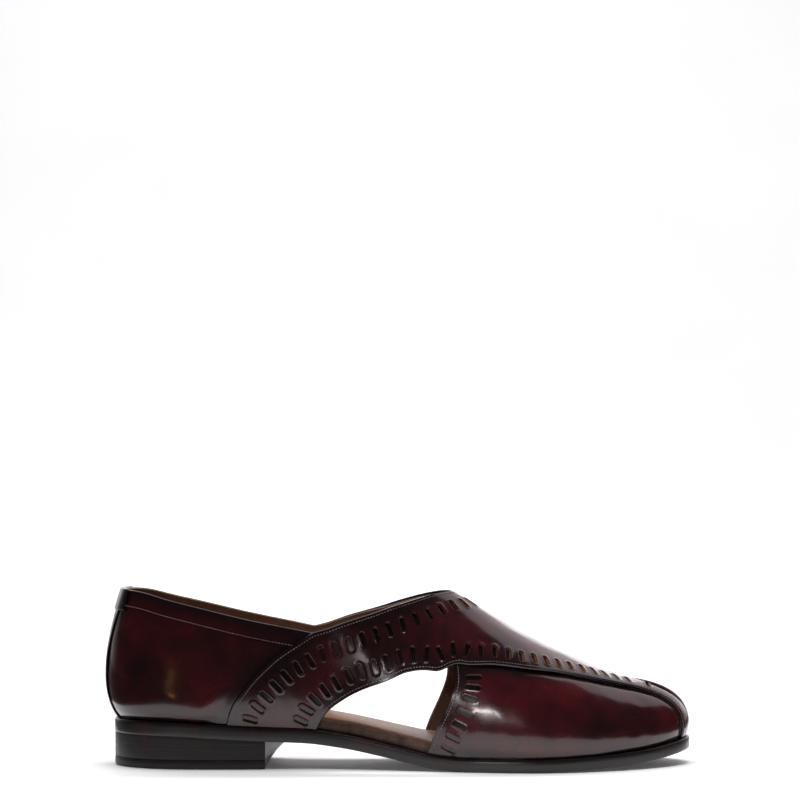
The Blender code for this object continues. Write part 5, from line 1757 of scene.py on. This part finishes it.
@dataclass
class Bottom:
    """Outsole, heel, insole and sock."""

    sizes: ShoeSizes
    stations: int = 190
    edge_profile: tuple[tuple[float, float], ...] = (
        (0.0, 0.0003), (0.02, 0.00015), (0.07, 0.00006), (0.15, 0.00002), (0.35, 0.0), (0.6, 0.0), (0.80, 0.00003),
        (0.88, 0.00015), (0.94, 0.00035), (0.98, 0.00065), (1.0, 0.0010))
    insole_thickness: float = 0.0055
    sock_thickness: float = 0.0012
    wall: float = 0.0018
    heel_setback: float = 0.0002
    top_piece: float = 0.0046
    breast_slope: float = 1.1

    def ring(self, inset_heel: float, inset_toe: float) -> Array:
        """Closed plan outline at an inset, from the back's middle and round by the outer side."""
        even = np.linspace(0, 1, self.stations + 1)
        shares = even - 0.012 * np.sin(2 * np.pi * even)
        halves = [PlanLine(self.sizes, side, inset_heel, inset_toe).at(shares) for side in SIDES]
        return np.concatenate([halves[0], halves[1][::-1][1:-1]])

    def heel_ring(self, inset: float, count: int = 70) -> Array:
        """Closed plan outline of the heel, with its breast square across."""
        halves = []
        front = self.sizes.back_x + self.sizes.heel_length
        for side in SIDES:
            line = PlanLine(self.sizes, side, inset, inset)
            halves.append(line.at(line.share_at(front) * np.linspace(0, 1, count + 1)))
        return np.concatenate([halves[0], halves[1][::-1][:-1]])

    @staticmethod
    def plate(rings: list[Array]) -> Shell:
        """Closed plate through rings, each end closed by strips between its two halves."""
        count, levels = len(rings[0]), len(rings)
        i = np.arange(count)
        j = (i + 1) % count
        faces = []
        for level in range(levels - 1):
            base = level * count
            faces.append(np.column_stack([base + i, base + j, base + count + j]))
            faces.append(np.column_stack([base + i, base + count + j, base + count + i]))
        k = np.arange(count // 2)
        left, right = k, (count - k) % count
        left_next, right_next = k + 1, count - k - 1
        for base, turned in ((0, True), ((levels - 1) * count, False)):
            lids = np.concatenate([np.column_stack([left, left_next, right_next]),
                                   np.column_stack([left, right_next, right])])
            lids = true_triangles(lids)
            faces.append(base + (lids[:, ::-1] if turned else lids))
        points, faces = np.concatenate(rings), np.concatenate(faces)
        return Shell(points, turned_outward(points, faces), {}, np.zeros(len(faces), int))

    def build(self, palette: Palette) -> None:
        """Add the bottom's pieces."""
        self.outsole(palette)
        self.heel(palette)
        self.insole(palette)

    def outsole(self, palette: Palette) -> None:
        """Sole whose edge is flat in its middle and rounded over, more so at the top."""
        rings = []
        for share, inset in self.edge_profile:
            plan = self.ring(inset, inset)
            level = self.sizes.underside(plan[:, 0]) + share * self.sizes.depth(plan[:, 0])
            rings.append(lifted(plan, level))
        piece = add_piece("outsole_leather", self.plate(rings), [palette.sole])
        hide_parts("outsole")

    def slanted(self, plan: Array, height: Array) -> Array:
        """Breast carried forward at its inner corner, by the slope times the height."""
        front = plan[:, 0] > plan[:, 0].max() - 1e-6
        share = np.clip(plan[:, 1] / (0.5 * self.sizes.heel_width), 0, 1)
        plan = plan.copy()
        plan[:, 0] += np.where(front, self.breast_slope * share * height, 0)
        return plan

    def heel(self, palette: Palette) -> None:
        """Stacked block and top piece, each edge a little pinched at the joints of its layers."""
        gap = self.sizes.fit_gap
        low = self.top_piece + 0.5 * gap
        rings = []
        for share in np.linspace(0, 1, 13):
            inset = self.heel_setback + (0.00002 if 0 < share < 1 else 0.00008)
            plan = self.heel_ring(inset)
            height = low + share * (self.sizes.underside(plan[:, 0]) - 0.2 * gap - low)
            plan = self.slanted(plan, height)
            rings.append(lifted(plan, low + share * (self.sizes.underside(plan[:, 0]) - 0.2 * gap - low)))
        piece = add_piece("heel_block", self.plate(rings), [palette.heel])
        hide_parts("heel_stack")
        rings = []
        for level, inset in ((0.0, 0.0007), (0.0002, 0.00035), (0.0007, 0.00005), (0.0022, 0.0),
                             (self.top_piece - 0.0004, 0.00005), (self.top_piece, 0.0003)):
            plan = self.heel_ring(self.heel_setback + inset)
            if level < 0.0007:
                plan[:, 0] = np.minimum(plan[:, 0], self.sizes.back_x + self.sizes.heel_length - inset)
            plan = self.slanted(plan, np.full(len(plan), level))
            rings.append(lifted(plan, np.full(len(plan), level)))
        piece = add_piece("heel_wear_piece", self.plate(rings), [palette.rubber])
        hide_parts("heel_top_piece")

    def insole(self, palette: Palette) -> None:
        """Board with its wrapped, rounded edge, and the thin sock on it."""
        gap, heel, toe = self.sizes.fit_gap, self.sizes.feather_inset_heel, self.sizes.feather_inset_toe
        start = self.wall + gap
        rings = []
        for inset, rise in ((0.0004, 0.1 * MM), (0.0, 0.6 * MM), (0.0, 0.5 * self.insole_thickness),
                            (0.00005, self.insole_thickness - 1.2 * MM),
                            (0.0003, self.insole_thickness - 0.5 * MM),
                            (0.0009, self.insole_thickness + 0.1 * MM),
                            (0.0018, self.insole_thickness + gap)):
            plan = self.ring(heel + start + inset, toe + start + inset)
            rings.append(lifted(plan, self.sizes.sole_top(plan[:, 0]) + rise))
        piece = add_piece("insole_board", self.plate(rings), [palette.insole])
        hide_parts("insole")
        rings = []
        for inset, rise in ((0.0016, 0.0), (0.0016, 0.5 * self.sock_thickness), (0.0019, 0.8 * self.sock_thickness),
                            (0.0028, self.sock_thickness)):
            plan = self.ring(heel + start + inset, toe + start + inset)
            level = self.sizes.sole_top(plan[:, 0]) + 1.3 * gap + self.insole_thickness + rise
            rings.append(lifted(plan, level))
        piece = add_piece("sock", self.plate(rings), [palette.sock])
        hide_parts("sock_lining")


@dataclass
class Studio:
    """Camera, lights and backdrop."""

    camera_at: tuple[float, float, float] = (0.1081, -1.8, 0.1879)
    lens: float = 156.4
    sensor: float = 36.0
    ambient: float = 0.025
    card_edge: float = -0.175
    card_margin: float = 0.008
    card_height: float = 0.0003

    def camera(self) -> None:
        """Level camera that looks along +Y, at the photo's distance and angle."""
        data = bpy.data.cameras.new("camera")
        data.lens, data.sensor_width = self.lens, self.sensor
        data.clip_start, data.clip_end = 0.01, 50.0
        item = bpy.data.objects.new("camera", data)
        item.location = self.camera_at
        item.rotation_euler = (math.radians(90), 0, 0)
        bpy.context.scene.collection.objects.link(item)
        bpy.context.scene.camera = item

    def light(self, name: str, at: tuple[float, float, float], aim: tuple[float, float, float],
              size: tuple[float, float], power: float, tone: tuple[float, float, float] = (1, 1, 1)
              ) -> bpy.types.Object:
        """Rectangular soft light that faces a point."""
        data = bpy.data.lights.new(name, "AREA")
        data.shape, data.size, data.size_y = "RECTANGLE", *size
        data.energy, data.color = power, tone
        return self.aimed(name, data, at, aim)

    def snooted(self, name: str, at: tuple[float, float, float], aim: tuple[float, float, float],
                cone: float, radius: float, power: float, tone: tuple[float, float, float]) -> bpy.types.Object:
        """Lamp behind a snoot, which lights a small part alone. The cone is in degrees."""
        data = bpy.data.lights.new(name, "SPOT")
        data.spot_size, data.spot_blend, data.shadow_soft_size = math.radians(cone), 1.0, radius
        data.energy, data.color = power, tone
        return self.aimed(name, data, at, aim)

    def aimed(self, name: str, data: bpy.types.Light, at: tuple[float, float, float],
              aim: tuple[float, float, float]) -> bpy.types.Object:
        """Place a light so that it faces a point."""
        item = bpy.data.objects.new(name, data)
        item.location = at
        item.rotation_euler = (Vector(aim) - Vector(at)).to_track_quat("-Z", "Y").to_euler()
        bpy.context.scene.collection.objects.link(item)
        return item

    def sheet(self, name: str, y: Array, z: Array, half_width: float, material: bpy.types.Material) -> None:
        """Sheet swept along X through a line of (y, z)."""
        x = np.array([-half_width, half_width])
        grid = np.stack(np.broadcast_arrays(x[:, None], y[None], z[None]), -1).reshape(-1, 3)
        count = len(y)
        faces = [(i, count + i, count + i + 1, i + 1) for i in range(count - 1)]
        mesh = bpy.data.meshes.new(name)
        mesh.from_pydata(grid.tolist(), [], faces)
        mesh.shade_smooth()
        self.staged(mesh, material)

    def backdrop(self) -> None:
        """Floor that sweeps up into a wall: flat, then a quarter of a circle, then upright. Dark
        cards lie on the floor outside the camera's view, so that the polish stays deep."""
        radius, reach, height = 1.2, 2.4, 1.5
        turn = np.linspace(0, 0.5 * np.pi, 24)
        y = np.concatenate([[-3.5], reach + radius * np.sin(turn), [reach + radius]])
        z = np.concatenate([[0.0], radius - radius * np.cos(turn), [height]])
        self.sheet("backdrop", y, z - 0.0002, 6.0, PaleFloor(glow=0.06).build())
        card = PaleFloor("dark_card", (0.012, 0.011, 0.011)).build()
        near, far = self.card_edge, 2.2
        spread = 0.5 * self.sensor / self.lens
        halves = [self.card_margin + spread * (y - self.camera_at[1]) for y in (near, far)]
        middle = self.camera_at[0]
        self.card("front_card", [(-3, -3), (3, -3), (3, near), (-3, near)], card)
        self.card("left_card", [(-3, near), (middle - halves[0], near), (middle - halves[1], far), (-3, far)],
                  card)
        self.card("right_card", [(middle + halves[0], near), (3, near), (3, far), (middle + halves[1], far)],
                  card)

    def card(self, name: str, corners: list[tuple[float, float]], material: bpy.types.Material) -> None:
        """Flat card on the floor."""
        mesh = bpy.data.meshes.new(name)
        mesh.from_pydata([(x, y, self.card_height) for x, y in corners], [], [tuple(range(len(corners)))])
        self.staged(mesh, material)

    @staticmethod
    def staged(mesh: bpy.types.Mesh, material: bpy.types.Material) -> None:
        """Add a mesh to the scene as a part of the stage."""
        mesh.materials.append(material)
        item = bpy.data.objects.new(mesh.name, mesh)
        bpy.context.scene.collection.objects.link(item)

    def build(self) -> None:
        """Set up the studio."""
        scene = bpy.context.scene
        world = bpy.data.worlds.new("studio")
        world.use_nodes = True
        ground = world.node_tree.nodes["Background"]
        ground.inputs["Color"].default_value = (1.0, 0.97, 0.98, 1)
        ground.inputs["Strength"].default_value = self.ambient
        scene.world = world
        scene.view_settings.view_transform = "Standard"
        self.backdrop()
        self.light("top_box", (0.10, 1.32, 1.12), (0.10, 0.0, 0.0), (4.0, 2.2), 21.0, (1.0, 0.92, 0.95))
        floor_light = self.light("floor_light", (0.10, -0.15, 1.5), (0.10, 0.0, 0.0), (1.1, 0.9), 20.0)
        floor_light.visible_glossy = False
        for name, x, power in (("left", -0.27, 4.2), ("middle", -0.15, 3.6), ("right", -0.02, 2.2)):
            self.snooted(f"panel_spot_{name}", (x, -1.15, 0.31), (0.165, -0.04, 0.030), 8.0, 0.055, power,
                         (1.0, 0.95, 0.95))
        self.snooted("warm_spot", (-0.42, -1.10, 0.07), (-0.012, -0.03, 0.040), 3.6, 0.045, 0.6,
                     (1.0, 0.56, 0.14))
        wash = self.light("backdrop_wash", (0.1, 1.2, 2.4), (0.1, 3.0, 0.2), (3.0, 1.0), 88.0)
        wash.visible_glossy = False


def main() -> None:
    """Build the studio and the shoe."""
    logging.basicConfig(level=logging.INFO, format="%(message)s")
    studio = Studio()
    studio.camera()
    studio.build()
    sizes = ShoeSizes()
    last = Last(sizes)
    layout = StrapLayout(last)
    palette = Palette()
    Bottom(sizes).build(palette)
    Quarters(last, layout).build(palette)
    ToePanels(last, layout).build(palette)
    Strap(last, layout).build(palette)


if __name__ == "__main__":
    main()
